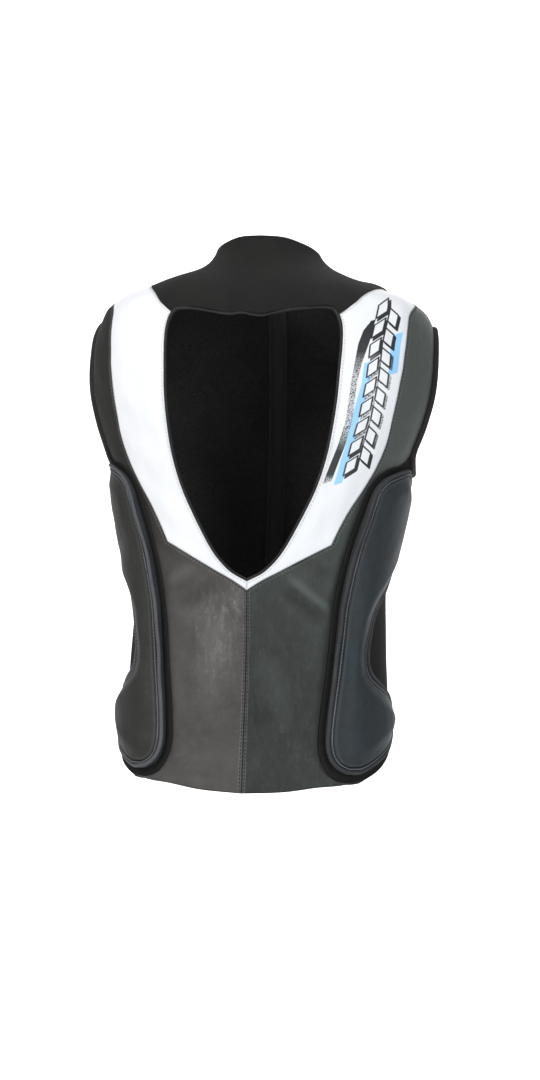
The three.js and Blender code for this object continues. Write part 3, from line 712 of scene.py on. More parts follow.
class Finish:
    """A material built from a few named steps, each a node of its shader."""

    def __init__(self, name, **sockets):
        self.material = bpy.data.materials.new(name)
        self.material.use_nodes = True
        self.tree = self.material.node_tree
        self.surface = self.tree.nodes["Principled BSDF"]
        for socket, value in sockets.items():
            self.surface.inputs[socket.replace("_", " ")].default_value = value
        self.place = self.add("ShaderNodeTexCoord").outputs["Object"]
        self.cloth = self.add("ShaderNodeUVMap", uv_map="surface").outputs["UV"]

    def add(self, kind, **settings):
        node = self.tree.nodes.new(kind)
        for key, value in settings.items():
            setattr(node, key, value)
        return node

    def join(self, value, socket):
        """Links an amount or an output to a socket, or sets a plain value on it."""
        value = value.socket if isinstance(value, Amount) else value
        if isinstance(value, bpy.types.NodeSocket):
            self.tree.links.new(value, socket)
        else:
            socket.default_value = value

    def arithmetic(self, kind, *values):
        node = self.add("ShaderNodeMath", operation=kind)
        for value, socket in zip(values, node.inputs):
            self.join(value, socket)
        return Amount(self, node.outputs["Value"])

    def stretched(self, scale):
        """Places on the vest, scaled along each axis."""
        node = self.add("ShaderNodeMapping")
        self.join(self.place, node.inputs["Vector"])
        node.inputs["Scale"].default_value = scale
        return node.outputs["Vector"]

    def noise(self, scale, detail=3.0, roughness=0.5, distortion=0.0, vector=None):
        node = self.add("ShaderNodeTexNoise")
        self.join(vector or self.place, node.inputs["Vector"])
        node.inputs["Scale"].default_value = scale
        node.inputs["Detail"].default_value = detail
        node.inputs["Roughness"].default_value = roughness
        node.inputs["Distortion"].default_value = distortion
        return Amount(self, node.outputs["Fac"])

    def clouds(self, scale):
        """Slow uneven patches, from nothing to one."""
        return self.noise(scale, 4, 0.6).ranged(0.3, 0.7)

    def cells(self, scale, feature="F1"):
        node = self.add("ShaderNodeTexVoronoi", feature=feature)
        self.join(self.place, node.inputs["Vector"])
        node.inputs["Scale"].default_value = scale
        return Amount(self, node.outputs["Distance"])

    def parts(self, vector):
        """The three parts of a vector."""
        node = self.add("ShaderNodeSeparateXYZ")
        self.join(vector, node.inputs["Vector"])
        return [Amount(self, output) for output in node.outputs]

    def mark(self, name):
        """A value that the piece's mesh carries."""
        return Amount(self, self.add("ShaderNodeAttribute", attribute_name=name).outputs["Fac"])

    def paint(self, socket, value):
        self.join(value, self.surface.inputs[socket])

    def colour_by(self, share, a, b):
        """Colours the surface with a blend of two colours."""
        node = self.add("ShaderNodeMix", data_type="RGBA")
        self.join(share, node.inputs["Factor"])
        self.join(a, node.inputs[MIX_A])
        self.join(b, node.inputs[MIX_B])
        self.colour = node.outputs[MIX_RESULT]
        self.paint("Base Color", self.colour)

    def coat(self, share, colour):
        """Lays a colour over the ones so far, by a share."""
        self.colour_by(share, self.colour, colour)

    def raise_by(self, *layers):
        """Bumps over one another, each a height from 0 to 1, its metres and maybe a strength."""
        normal = None
        for height, distance, *strength in layers:
            node = self.add("ShaderNodeBump")
            node.inputs["Strength"].default_value = strength[0] if strength else 1
            node.inputs["Distance"].default_value = distance
            self.join(height, node.inputs["Height"])
            if normal is not None:
                self.join(normal, node.inputs["Normal"])
            normal = node.outputs["Normal"]
        self.paint("Normal", normal)


PLAIN = (1, 1, 1)
WARM = (1.04, 1.0, 0.955)
COOL = (0.85, 1.0, 0.96)
BLUISH = (0.92, 0.98, 1.08)


def grey(value, tint=PLAIN):
    return (value * tint[0], value * tint[1], value * tint[2], 1)


TURNED_EDGE = 0.0016
STITCH_GROOVE = 0.0011
STITCH_SHADE = 0.0004


def sewn_edge(finish):
    """Height of a turned edge: drawn down at its seam, with a groove under its stitches."""
    turned = finish.mark("seam").ranged(0, TURNED_EDGE, smooth=True)
    groove = abs(finish.mark("sewn") - STITCH_INSET).ranged(0, STITCH_GROOVE, smooth=True)
    return turned * 0.6 + groove * 0.4


def puckers(finish):
    """Small gathers across the edge, strongest by the stitches."""
    return finish.mark("sewn").falling(0.001, 0.010, smooth=True) * finish.noise(230, 2)


def leather_grain(finish, scale):
    return finish.cells(scale, "SMOOTH_F1") * 0.8 + finish.noise(scale * 2.2, 2) * 0.35


Leather = namedtuple("Leather", "name tint dark light shoulder tuck_width tuck_shade")
# The left copy is painted lighter and warmer, as painted light, and the right copy darker and
# cooler, as painted shade. Shoulder is the colour of the painted shade (left) or painted light
# (right) on the upper back. Tuck width and tuck shade set the painted shadow of the pad on the
# leather beside it.
LEATHER_LEFT = Leather("black_leather_warm", WARM, 0.028, 0.062, 0.010, 0.006, 0.45)
LEATHER_RIGHT = Leather("black_leather_cool", COOL, 0.012, 0.026, 0.068, 0.014, 0.75)
# Patches on the left back that are partly scuffs and partly a painted highlight of the leather's
# sheen.
ScuffAndSheen = namedtuple("ScuffAndSheen", "x z width height")
SCUFF_AND_SHEEN_PATCHES = (ScuffAndSheen(-0.034, -0.412, 0.024, 0.055), ScuffAndSheen(-0.013, -0.372, 0.012, 0.022))
STREAK_SCALE = (110, 90, 45)
SHOULDER_PAINTED_LIGHT_RANGE = (-0.34, -0.26)
UPPER_BACK_PAINTED_LIGHT_RANGE = (-0.49, -0.34)
WORN_GREY, SHEEN_AND_SCUFF_GREY, RUBBED_AND_SHEEN_GREY = 0.23, 0.12, 0.13


def black_leather(kind):
    """Black cowhide, matt, with wear streaks, scuffs and dark seam lines, painted highlights on its
    folds and beside its stitches, and painted shade in its fold valleys, its stitch grooves and
    next to the pads.
    """
    finish = Finish(kind.name, Specular_IOR_Level=0.3)
    scuffed_and_lit = kind is LEATHER_LEFT
    x, y, z = finish.parts(finish.place)
    share = finish.noise(7, 4, 0.62, 0.6) * 0.7 + finish.noise(70, 5, 0.65) * 0.3
    finish.colour_by(
        share.ranged(0.32, 0.68), grey(kind.dark, kind.tint), grey(kind.light, kind.tint))

    streaks = finish.noise(1, 5, 0.7, 0.8, finish.stretched(STREAK_SCALE))
    spots = finish.noise(260, 3, 0.6).ranged(0.5, 0.75)
    worn = streaks.ranged(0.46, 0.74) * (spots + 0.35)
    if scuffed_and_lit:
        # Left copy: wear streaks held to a paler patch left of the spine, partly scuffs and partly
        # a painted highlight.
        spread, corner = (x.bell(at.x, at.width) * z.bell(at.z, at.height) for at in SCUFF_AND_SHEEN_PATCHES)
        spread = spread.step("MAXIMUM", corner) * y.falling(-0.03, 0)
        worn = worn * (spread * 0.95 + 0.06)
        finish.coat((spread + 0.15) * 0.34, grey(SHEEN_AND_SCUFF_GREY, kind.tint))
    else:
        worn = worn * 0.12
        # Painted light: the right copy is made lighter up its upper back.
        finish.coat(z.ranged(*UPPER_BACK_PAINTED_LIGHT_RANGE) * 0.5, grey(0.046, kind.tint))
    finish.coat(worn, grey(WORN_GREY, kind.tint))
    # Painted shade on the left copy's shoulders and painted light on the right copy's, by height.
    shoulder = z.ranged(*SHOULDER_PAINTED_LIGHT_RANGE) * 0.92
    finish.coat(shoulder, grey(kind.shoulder, kind.tint))

    # Painted highlight on the fold ridges and painted shade in the fold valleys.
    fold = finish.mark("fold")
    finish.coat(fold.ranged(0.1, 1) * 0.42, grey(SHEEN_AND_SCUFF_GREY, kind.tint))
    finish.coat(fold.ranged(-0.1, -0.8) * 0.5, grey(0.012))
    finish.coat(finish.mark("seam").falling(0, TURNED_EDGE, smooth=True) * 0.85, grey(0.004))
    sewn = finish.mark("sewn")
    # Painted highlight on the raised lip beside the stitches, with some rubbed wear.
    uneven = finish.noise(45, 3, 0.6).ranged(0.3, 0.7, 0.3, 0.65)
    finish.coat(sewn.between(0.0012, 0.0046, 0.0006) * uneven, grey(RUBBED_AND_SHEEN_GREY, kind.tint))
    # Painted shade in the groove under the stitches.
    stitch_groove_shade = sewn.between(STITCH_INSET - STITCH_SHADE, STITCH_INSET + STITCH_SHADE, STITCH_SHADE)
    finish.coat(stitch_groove_shade * 0.2, grey(0.006))
    # Painted shadow of the pad on the leather beside it.
    tucked = finish.mark("tucked").falling(0, kind.tuck_width, smooth=True)
    finish.coat(tucked * kind.tuck_shade, grey(0.008))

    roughness = share.ranged(0.25, 0.75, 0.6, 0.45)
    finish.paint("Roughness", roughness + shoulder * 0.3 if scuffed_and_lit else roughness)
    finish.raise_by(
        (finish.noise(30, 3, 0.55), 0.0018),
        (puckers(finish), 0.0012),
        (sewn_edge(finish), 0.0011),
        (finish.noise(190, 4, 0.6, 1.2), 0.0004),
        (leather_grain(finish, 850), 0.00025, 0.7),
    )
    return finish.material


WHITE_HIGH, WHITE_LOW = (0.73, 0.745, 0.775, 1), (0.68, 0.70, 0.735, 1)
HANDLED_GREY = (0.36, 0.37, 0.39, 1)


def smooth_white_leather(name):
    """White leather, cool, with a soft sheen and grey handling marks by its edges."""
    finish = Finish(name, Roughness=0.45, Specular_IOR_Level=0.4)
    finish.colour_by(finish.noise(14, 4, 0.6).ranged(0.3, 0.75), WHITE_HIGH, WHITE_LOW)
    edge = finish.mark("seam").falling(0, 0.003, smooth=True)
    finish.coat(edge * finish.noise(60, 4, 0.6).ranged(0.35, 0.7, 0.15, 0.6), HANDLED_GREY)
    finish.raise_by(
        (finish.noise(26, 3), 0.0018),
        (puckers(finish), 0.001),
        (sewn_edge(finish), 0.0009),
        (leather_grain(finish, 900), 0.00012, 0.5),
    )
    return finish


KNIT_PITCH = 0.0011
STRETCH_RIB_PITCH = 0.0024
ZIP_WEAVE_PITCH = 0.0012


def neoprene():
    """Black neoprene with a fine knitted face."""
    finish = Finish(
        "neoprene", Roughness=0.88, Specular_IOR_Level=0.16, Sheen_Weight=0.03,
        Sheen_Roughness=0.5)
    finish.colour_by(finish.clouds(16), grey(0.009), grey(0.0135, WARM))
    across, up, _ = finish.parts(finish.cloth)
    knit = across.wave(KNIT_PITCH) * up.wave(KNIT_PITCH)
    finish.raise_by((finish.noise(40, 3), 0.0012), (knit.ranged(-1, 1), 0.00018))
    return finish.material


def stretch_knit():
    """Near-black elastic fabric with ribs across it."""
    finish = Finish("stretch_knit", Roughness=0.9, Specular_IOR_Level=0.12)
    finish.colour_by(finish.noise(30, 3, 0.6), grey(0.008), grey(0.016))
    _, up, _ = finish.parts(finish.cloth)
    finish.raise_by((up.wave(STRETCH_RIB_PITCH).ranged(-1, 1), 0.0004))
    return finish.material


def mesh_lining():
    """Dark mesh lining on the inner side."""
    finish = Finish("mesh_lining", Roughness=0.85, Specular_IOR_Level=0.15)
    holes = finish.cells(420).ranged(0.18, 0.34)
    finish.colour_by(finish.noise(12, 3).ranged(0.3, 0.7), grey(0.016), grey(0.026))
    finish.colour_by(holes, grey(0.005), finish.colour)
    finish.raise_by((holes, 0.0003))
    return finish.material


def pad_cover(name, tint):
    """Matt black cover leather of the raised pads, with a soft nap, painted highlights on its welt
    and on the rounded edge of its crown, and painted shade in the grooves either side of the welt.
    """
    finish = Finish(name, Roughness=0.55, Specular_IOR_Level=0.28)
    share = finish.noise(14, 4, 0.6) * 0.6 + finish.noise(120, 4, 0.6) * 0.4
    finish.colour_by(share.ranged(0.3, 0.7), grey(0.013, tint), grey(0.024, tint))
    inset = finish.mark("inset")
    # Painted highlight along the welt.
    finish.coat(inset.bell(PAD_WELT, 0.0008) * 0.75, grey(0.16, BLUISH))
    first, second = (inset.bell(groove, 0.0007) for groove in (PAD_FIRST_GROOVE, PAD_BORDER))
    # Painted shade in the two grooves either side of the welt.
    finish.coat(first.step("MAXIMUM", second) * 0.9, grey(0.003))
    # Painted highlight on the rounded edge of the crown.
    finish.coat(inset.bell(PAD_BORDER + 0.0026, 0.0014) * 0.3, grey(0.07))
    finish.raise_by((finish.noise(45, 3), 0.0012), (leather_grain(finish, 1000), 0.0002, 0.6))
    return finish.material


def ribbed_band(name, value, tint, pitch):
    """Woven binding with fine ribs across its length, with painted shade between its ribs."""
    finish = Finish(name, Roughness=0.7, Specular_IOR_Level=0.25)
    _, along, _ = finish.parts(finish.cloth)
    ribs = along.wave(pitch).ranged(-1, 1)
    finish.colour_by(finish.clouds(28), grey(value * 0.6, tint), grey(value, tint))
    # Painted shade: darker in the grooves between the ribs.
    finish.colour_by(ribs, grey(value * 0.45, tint), finish.colour)
    finish.raise_by((ribs, 0.0003))
    return finish.material


def corded_leather(name, value):
    finish = Finish(name, Roughness=0.55, Specular_IOR_Level=0.25)
    finish.colour_by(finish.clouds(60), grey(value * 0.7), grey(value * 1.3))
    finish.raise_by((leather_grain(finish, 1200), 0.00012, 0.5))
    return finish.material


def sewing_thread(name, low, high):
    finish = Finish(name, Roughness=0.55, Specular_IOR_Level=0.4)
    finish.colour_by(finish.noise(1800, 2), grey(low), grey(high))
    return finish.material


def zip_tape():
    """Woven tape with a herringbone down each side of its middle."""
    finish = Finish("zip_tape", Roughness=0.75, Specular_IOR_Level=0.35)
    across, up, _ = finish.parts(finish.cloth)
    weave = (abs(across - ZIP_WIDTH / 2) + up).wave(ZIP_WEAVE_PITCH).ranged(-1, 1)
    finish.colour_by(weave, grey(0.014), grey(0.03))
    finish.raise_by((weave, 0.0002))
    return finish.material


def moulded_teeth():
    finish = Finish("zip_teeth", Roughness=0.35, Specular_IOR_Level=0.5)
    finish.colour_by(finish.noise(90, 3), grey(0.025), grey(0.05))
    return finish.material


def matt(name, value):
    return Finish(
        name, Roughness=0.9, Specular_IOR_Level=0.1, Base_Color=grey(value)).material


# The plain print on the right white panel. Its rows are routes of the stripe, of the pale block
# beside it and of the chain of tread blocks, as seen from straight behind: heights, and
# distances across from the spine.

PrintRow = namedtuple("PrintRow", "height stripe stripe_width block middle")
PRINT = [
    PrintRow(-0.2352, 0.0722, 0.0095, 0.0863, 0.1082),
    PrintRow(-0.2052, 0.0841, 0.0090, 0.0950, 0.1157),
    PrintRow(-0.1872, 0.0914, 0.0088, 0.1007, 0.1202),
    PrintRow(-0.1560, 0.1012, 0.0078, 0.1076, 0.1295),
    PrintRow(-0.1128, 0.1073, 0.0072, 0.1201, 0.1382),
    PrintRow(-0.0888, 0.1116, 0.0085, 0.1232, 0.1412),
    PrintRow(-0.0648, 0.1160, 0.0128, 0.1270, 0.1436),
    PrintRow(-0.0480, 0.1225, 0.0120, 0.1310, 0.1472),
    PrintRow(-0.0384, 0.1306, 0.0055, 0.1340, 0.1496),
    PrintRow(-0.0200, 0.1400, 0.0040, 0.1380, 0.1535),
]
PRINT_FRONT_LIMIT = -0.02
PRINT_SLANT = 0.35
STRIPE_ENDS = (-0.228, -0.036)
LOW_BLOCK = ((0, 0.0095), (-0.2345, -0.088))
HIGH_BLOCK = ((0.0122, 0.0235), (-0.1135, -0.064))
WORN_PART = (-0.178, -0.09, 0.016)
WORN_END = (-0.232, -0.222)
TREAD_PITCH = 0.0236
TREAD_ROWS = (31, 39)
TREAD_ROW_SHIFT = 40
TREAD_OFFSET = 0.0048
TREAD_SLANT = 0.75
TREAD_CORNER = 0.0016
TREAD_COLUMN = 0.0072
TREAD_HALF = Girth(0.0069, 0.0088)
TREAD_OUTLINE = 0.0021
TREAD_SHADOW = (-0.0026, 0.0028)
INK_SOFT = 0.0003
INK = (0.014, 0.016, 0.019, 1)
PALE_BLUE = (0.27, 0.55, 0.82, 1)


def seen_from_behind(points):
    """Positions across and up on the plane that faces the viewer behind the vest."""
    forward, right, top, aim = viewpoint()
    off = points - np.array(aim - right * AIM_SHIFT)
    nearer = CAMERA_REACH / (CAMERA_REACH + off @ np.array(forward))
    return off @ np.array(right) * nearer, off @ np.array(top) * nearer + AIM_HEIGHT


def print_marks(points):
    across, up = seen_from_behind(points)
    heights = [row.height for row in PRINT]
    rows = {name: np.interp(up, heights, [getattr(row, name) for row in PRINT])
            for name in PrintRow._fields}
    return {
        "behind": np.where(points[..., 1] < PRINT_FRONT_LIMIT, 1.0, 0.0),
        "stripe": (across - rows["stripe"]) / rows["stripe_width"],
        "block": across - rows["block"],
        "middle": across - rows["middle"],
        "height": up,
    }


def block_tread(across, up, shift_across=0.0, shift_up=0.0):
    """Distance outside two staggered columns of slanted blocks, negative inside them."""
    across = across + shift_across
    other = across.step("GREATER_THAN", 0)
    off = abs(across)
    slanted = up + (TREAD_PITCH * TREAD_ROW_SHIFT + TREAD_OFFSET + shift_up) + off * TREAD_SLANT
    slanted = slanted + other * (TREAD_PITCH / 2)
    row = (slanted / TREAD_PITCH).step("FLOOR")
    too_low = (row - other).step("LESS_THAN", TREAD_ROWS[0] - 0.5)
    too_high = row.step("GREATER_THAN", TREAD_ROWS[1] + 0.5)
    side = abs(off - TREAD_COLUMN) - (TREAD_HALF.width - TREAD_CORNER)
    turn = slanted.step("MODULO", TREAD_PITCH) - TREAD_PITCH / 2
    end = abs(turn) - (TREAD_HALF.depth - TREAD_CORNER)
    side_out, end_out = (value.step("MAXIMUM", 0) for value in (side, end))
    corner = (side_out * side_out + end_out * end_out).step("SQRT")
    inside = side.step("MAXIMUM", end).step("MINIMUM", 0)
    return corner + inside - TREAD_CORNER + (too_low + too_high)


def print_on_white(finish):
    """A plain sport print: a tapering stripe, pale blue blocks and a chain of tread blocks."""
    across, up, block = (finish.mark(name) for name in ("middle", "height", "block"))
    behind = finish.mark("behind").ranged(0.7, 0.8)
    speckle = finish.noise(820, 2, 0.7).ranged(0.43, 0.52)
    worn_part = up.between(*WORN_PART)
    worn = (worn_part * 0.8).step("MAXIMUM", up.falling(*WORN_END))
    slanted = up - block * PRINT_SLANT
    stripe = finish.mark("stripe").between(0, 1, 0.03) * slanted.between(*STRIPE_ENDS)
    stripe = stripe * (1 - worn * speckle) * behind

    low_block = block.between(*LOW_BLOCK[0]) * slanted.between(*LOW_BLOCK[1])
    high_block = across.between(*HIGH_BLOCK[0]) * slanted.between(*HIGH_BLOCK[1])
    blue = low_block.step("MAXIMUM", high_block) * behind

    edge = block_tread(across, up)
    inked = edge.falling(-INK_SOFT, INK_SOFT) * behind
    hollow = edge.falling(-TREAD_OUTLINE - INK_SOFT, -TREAD_OUTLINE + INK_SOFT) * behind
    shadow = block_tread(across, up, *TREAD_SHADOW).falling(-INK_SOFT, INK_SOFT) * behind
    shadow = shadow * (1 - worn_part * 0.75 * speckle)

    white = finish.colour
    finish.coat(blue, PALE_BLUE)
    for share in (stripe, shadow, inked):
        finish.coat(share, INK)
    finish.coat(hollow, white)
    return finish.material


leather_left, leather_right = black_leather(LEATHER_LEFT), black_leather(LEATHER_RIGHT)
white_plain = smooth_white_leather("white_leather").material
white_printed = print_on_white(smooth_white_leather("white_leather_printed"))
neoprene_black = neoprene()
stretch_black = stretch_knit()
lining_dark = mesh_lining()
pad_leather_left = pad_cover("pad_cover_left", (1, 1, 0.95))
pad_leather_right = pad_cover("pad_cover_right", (0.75, 1.05, 1.3))
pad_wall_band = ribbed_band("pad_gusset_band", 0.05, BLUISH, 0.0017)
# The left rim band is painted lighter, as painted highlight, and the right one darker, as painted
# shade: the same band.
rim_band_left = ribbed_band("pad_rim_band_left", 0.125, BLUISH, 0.0019)
rim_band_right = ribbed_band("pad_rim_band_right", 0.055, BLUISH, 0.0019)
armhole_band = ribbed_band("armhole_binding", 0.022, WARM, 0.0021)
piping_black = corded_leather("piping_leather", 0.012)
thread_dark = sewing_thread("dark_thread", 0.004, 0.014)
thread_pale = sewing_thread("pale_thread", 0.5, 0.7)
tape_black = zip_tape()
teeth_black = moulded_teeth()


# Relief of the panels: soft folds of leather, each a ridge between two points seen from behind

Fold = namedtuple("Fold", "x0 z0 x1 z1 width height")
BACK_FOLDS_RIGHT = [
    Fold(0.046, -0.342, 0.094, -0.380, 0.0062, 0.0038),
    Fold(0.038, -0.357, 0.086, -0.396, 0.0080, -0.0028),
    Fold(0.052, -0.318, 0.094, -0.342, 0.010, -0.0016),
    Fold(0.060, -0.300, 0.098, -0.245, 0.010, 0.0014),
    Fold(0.016, -0.430, 0.060, -0.520, 0.020, 0.0013),
    Fold(0.060, -0.480, 0.078, -0.560, 0.012, -0.0012),
]
BACK_FOLDS_LEFT = [
    Fold(-0.060, -0.332, -0.092, -0.352, 0.009, 0.0020),
    Fold(-0.020, -0.345, -0.080, -0.378, 0.012, -0.0014),
    Fold(-0.030, -0.390, -0.046, -0.500, 0.018, 0.0016),
    Fold(-0.062, -0.400, -0.074, -0.520, 0.012, -0.0012),
    Fold(-0.060, -0.300, -0.098, -0.250, 0.010, 0.0012),
]
FOLD_MIDDLE, FOLD_FULL_HALF, FOLD_END_SOFTNESS = 0.52, 0.26, 0.05
FOLD_HEIGHT = 0.003

# Slow waves over a panel, by their length and height
Wave = namedtuple("Wave", "length height")
BACK_WAVES = (Wave(0.09, 0.0007), Wave(0.05, 0.0005), Wave(0.031, 0.00025))
WHITE_WAVES = (Wave(0.08, 0.0008), Wave(0.045, 0.0005), Wave(0.028, 0.0002))
PLAIN_WAVES = (Wave(0.11, 0.0005), Wave(0.07, 0.0003))
YOKE_WAVES = (Wave(0.12, 0.0009), Wave(0.06, 0.0005))
PAD_WAVES = (Wave(0.07, 0.0005), Wave(0.042, 0.0003))

TUCKED_BY_PAD = Ridge(-0.0012, 0.008)
TURNED_AT_SEAM = Ridge(-0.0007, 0.0035)
YOKE_EDGE_WAVE = Ridge(0.0016, 0.014)
YOKE_EAR = Ridge(0.0024, 0.02)
YOKE_BACK_BEARING = 0.9
WHITE_FULLNESS = 0.0007
LEATHER_EASE, NARROW_EASE = 0.012, 0.01


def fold_relief(places, folds):
    points = skin(places[..., 0], places[..., 1])
    x, z = points[..., 0], points[..., 2]
    total = np.zeros_like(x)
    for fold in folds:
        run = np.array([fold.x1 - fold.x0, fold.z1 - fold.z0])
        length = np.linalg.norm(run)
        along = ((x - fold.x0) * run[0] + (z - fold.z0) * run[1]) / length**2
        off = ((x - fold.x0) * run[1] - (z - fold.z0) * run[0]) / length
        past_end = np.clip(np.abs(along - FOLD_MIDDLE) - FOLD_FULL_HALF, 0, None)
        ends = np.exp(-past_end ** 2 / FOLD_END_SOFTNESS)
        total += fold.height * bell(off, fold.width) * ends
    return np.where(points[..., 1] < 0, total, 0)


# The fold mark is the relief's height, which the leather uses for painted highlights on ridges and
# painted shade in valleys.
def fold_marks(folds):
    return lambda points: {"fold": fold_relief(place_of(points), folds) / FOLD_HEIGHT}


def ripple(places, waves, seed):
    """Slow uneven waves over a panel, a few of them laid over each other."""
    points = skin(places[..., 0], places[..., 1])
    total = np.zeros(points.shape[:-1])
    for number, wave in enumerate(waves):
        turn = seed + number * 2.4
        run = np.array([math.cos(turn), math.sin(turn * 1.7) * 0.5, math.sin(turn)])
        total += wave.height * np.sin(points @ run * 2 * math.pi / wave.length + turn * 3)
    return total


def back_relief(folds, seed):
    def relief(places, seam, far):
        below_pad_top = places[..., 1] < height_at(SIDE_PAD[0].level)
        tucked = TUCKED_BY_PAD.at(far) * below_pad_top
        waves = ripple(places, BACK_WAVES, seed) * (1 - bell(seam, LEATHER_EASE))
        return fold_relief(places, folds) + waves + TURNED_AT_SEAM.at(seam) + tucked
    return relief


def white_relief(seed):
    def relief(places, seam, _):
        waves = ripple(places, WHITE_WAVES, seed)
        return (WHITE_FULLNESS + waves) * (1 - bell(seam, NARROW_EASE))
    return relief


def plain_relief(places, seam, _):
    return ripple(places, PLAIN_WAVES, 1.0) * (1 - bell(seam, LEATHER_EASE))


def yoke_relief(places, seam, _):
    """The yoke's lower edge lies in low waves, and its right shoulder corner lifts a little."""
    bearing, height = places[..., 0], places[..., 1]
    by_edge = YOKE_EDGE_WAVE.at(np.clip(height + YOKE_DROP, 0, None))
    waves = by_edge * (np.abs(bearing) < YOKE_BACK_BEARING) * np.sin(bearing * 11 + 0.6)
    off = np.linalg.norm(on_form(places) - on_form(ridge_at_yoke), axis=-1)
    slow = ripple(places, YOKE_WAVES, 0.4) * (1 - bell(seam, NARROW_EASE))
    return waves + YOKE_EAR.at(off) + slow


# Panels of the vest

def back_grid():
    near = joined(centre_seam, vee_edge, white_outer)
    far = joined(side_seam, arm_back)
    top = straight(white_outer[-1], arm_back[-1], STEPS["back_across"])
    return patch(near, far, hem_back, top)


def white_grid():
    near = joined(opening_edge, yoke_back, yoke_front)
    far = joined(vee_edge, white_outer, white_outer_front, chest_seam)
    low, high = (straight(near[end], far[end], STEPS["white_across"]) for end in (0, -1))
    return patch(near, far, low, high)


def side_grid():
    return patch(side_seam, front_seam, hem_side, arm_bottom)


def front_grid():
    near = joined(front_seam, arm_front)
    far = joined(zip_line, chest_seam[::-1], white_outer_front[::-1])
    return patch(near, far, hem_front, straight(near[-1], far[-1], STEPS["front_across"]))


def collar_grid():
    half = joined(yoke_back, yoke_front)[::-1]
    border = joined(half, opening_top, across_spine(half))
    columns = []
    for place in border:
        angle = min(180, math.degrees(abs(place[0])))
        rim = smooth_value(COLLAR_TOP, "angle", "height", angle) * COLLAR_HEIGHT
        column = straight(place, (place[0], rim), 3 * FINE_STEPS)
        for row in column:
            clear = zip_edge(row[1])[0]
            row[0] = min(max(row[0], -clear), clear)
        columns.append(walk(column, STEPS["collar_up"]))
    return np.array(columns)


back, white, side, front = back_grid(), white_grid(), side_grid(), front_grid()
for name, left, leather, folds, seed in (
    ("right", False, leather_right, BACK_FOLDS_RIGHT, 0.3),
    ("left", True, leather_left, BACK_FOLDS_LEFT, 2.1),
):
    panel(f"back_panel_{name}", back, LEATHER_WALL, back_relief(folds, seed), leather,
          "black_leather", left, marks=fold_marks(folds), sewn="near")
for name, left, leather, marks, seed in (
    ("right", False, white_printed, print_marks, 0.8), ("left", True, white_plain, None, 1.9),
):
    panel(f"white_panel_{name}", white, LEATHER_WALL, white_relief(seed), leather,
          "white_leather", left, marks=marks, sewn="near")
for name, left in (("right", False), ("left", True)):
    panel(f"side_panel_{name}", side, STRETCH_WALL, plain_relief, stretch_black,
          "stretch_fabric", left)
for name, left, leather in (("right", False, leather_right), ("left", True, leather_left)):
    panel(f"front_panel_{name}", front, LEATHER_WALL, plain_relief, leather, "black_leather",
          left, sewn="far")
panel("collar_yoke", collar_grid(), NEOPRENE_WALL, yoke_relief, neoprene_black, "neoprene")


# Rolls and piping

ROLL_SEAT = 0.9
ROLL_OUT, ROLL_SIDE = 1.2, 1.15
PIPING_CORNER = Ridge(0.5, 0.022)


def armhole_roll(name, left):
    loop = joined(arm_back, arm_front[::-1], arm_bottom[::-1])[:-1]
    if left:
        loop = loop * MIRROR
    frames = frames_along(loop, LEATHER_WALL * ROLL_SEAT, ARMHOLE_ROLL_RADIUS * ROLL_SEAT)
    radii = (ARMHOLE_ROLL_RADIUS * ROLL_OUT, ARMHOLE_ROLL_RADIUS * ROLL_SIDE)
    belongs(tube(name, *frames, radii, 16, armhole_band), "edge_binding", name)


def cut_out_piping():
    """Piping round the cut-out, thicker at the corners under the yoke."""
    loop = joined(opening_edge, opening_top, across_spine(opening_edge))[:-1]
    centres, outs, sides = frames_along(loop, LEATHER_WALL / 2, OPENING_PIPING_RADIUS)
    corners = on_form(np.array([opening_corner, opening_corner * MIRROR]))
    reach = np.min(np.linalg.norm(centres[:, None] - corners[None], axis=2), axis=1)
    radius = OPENING_PIPING_RADIUS * (1 + PIPING_CORNER.at(reach))
    piece = tube("opening_piping", centres, outs, sides, (radius, radius), 12, piping_black)
    belongs(piece, "piping", "opening_piping")


armhole_roll("armhole_edge_right", False)
armhole_roll("armhole_edge_left", True)
cut_out_piping()


# Raised side pads

PAD_STEPS = (400, 56)
CLOTH_STEPS = (110, 22)
PAD_TOP_WALL = 0.6
PAD_TOP_RISE = 0.06
PAD_CROWN_RISE = 0.02
PAD_WELT_RIDGE = Ridge(0.0011, 0.0010)
PAD_GROOVE = Ridge(-0.0016, 0.0010)
PAD_BAND_SEAT = Ridge(-0.0014, 0.0030)
PAD_WALL_BULGE = 0.0008
PAD_SLACK = 0.8
PAD_MOST_SWELL = 0.005
PAD_VOXEL = 0.004
PAD_WRINKLE = 0.00012
PAD_HELD_HEIGHT = 0.008
PAD_EYE = 0.06
CLOTH_FRAMES = 20
CLOTH_SETTINGS = {
    "quality": 6, "mass": 0.25, "tension_stiffness": 12, "compression_stiffness": 12,
    "shear_stiffness": 6, "bending_stiffness": 0.35, "use_pressure": True,
    "uniform_pressure_force": 4, "vertex_group_mass": "held",
}


def drawn_to_ends(steps, share):
    """Steps from 0 to 1 that are shorter towards both ends."""
    t = np.linspace(0, 1, steps + 1)
    return (1 - share) * t + share * (0.5 - 0.5 * np.cos(math.pi * t))


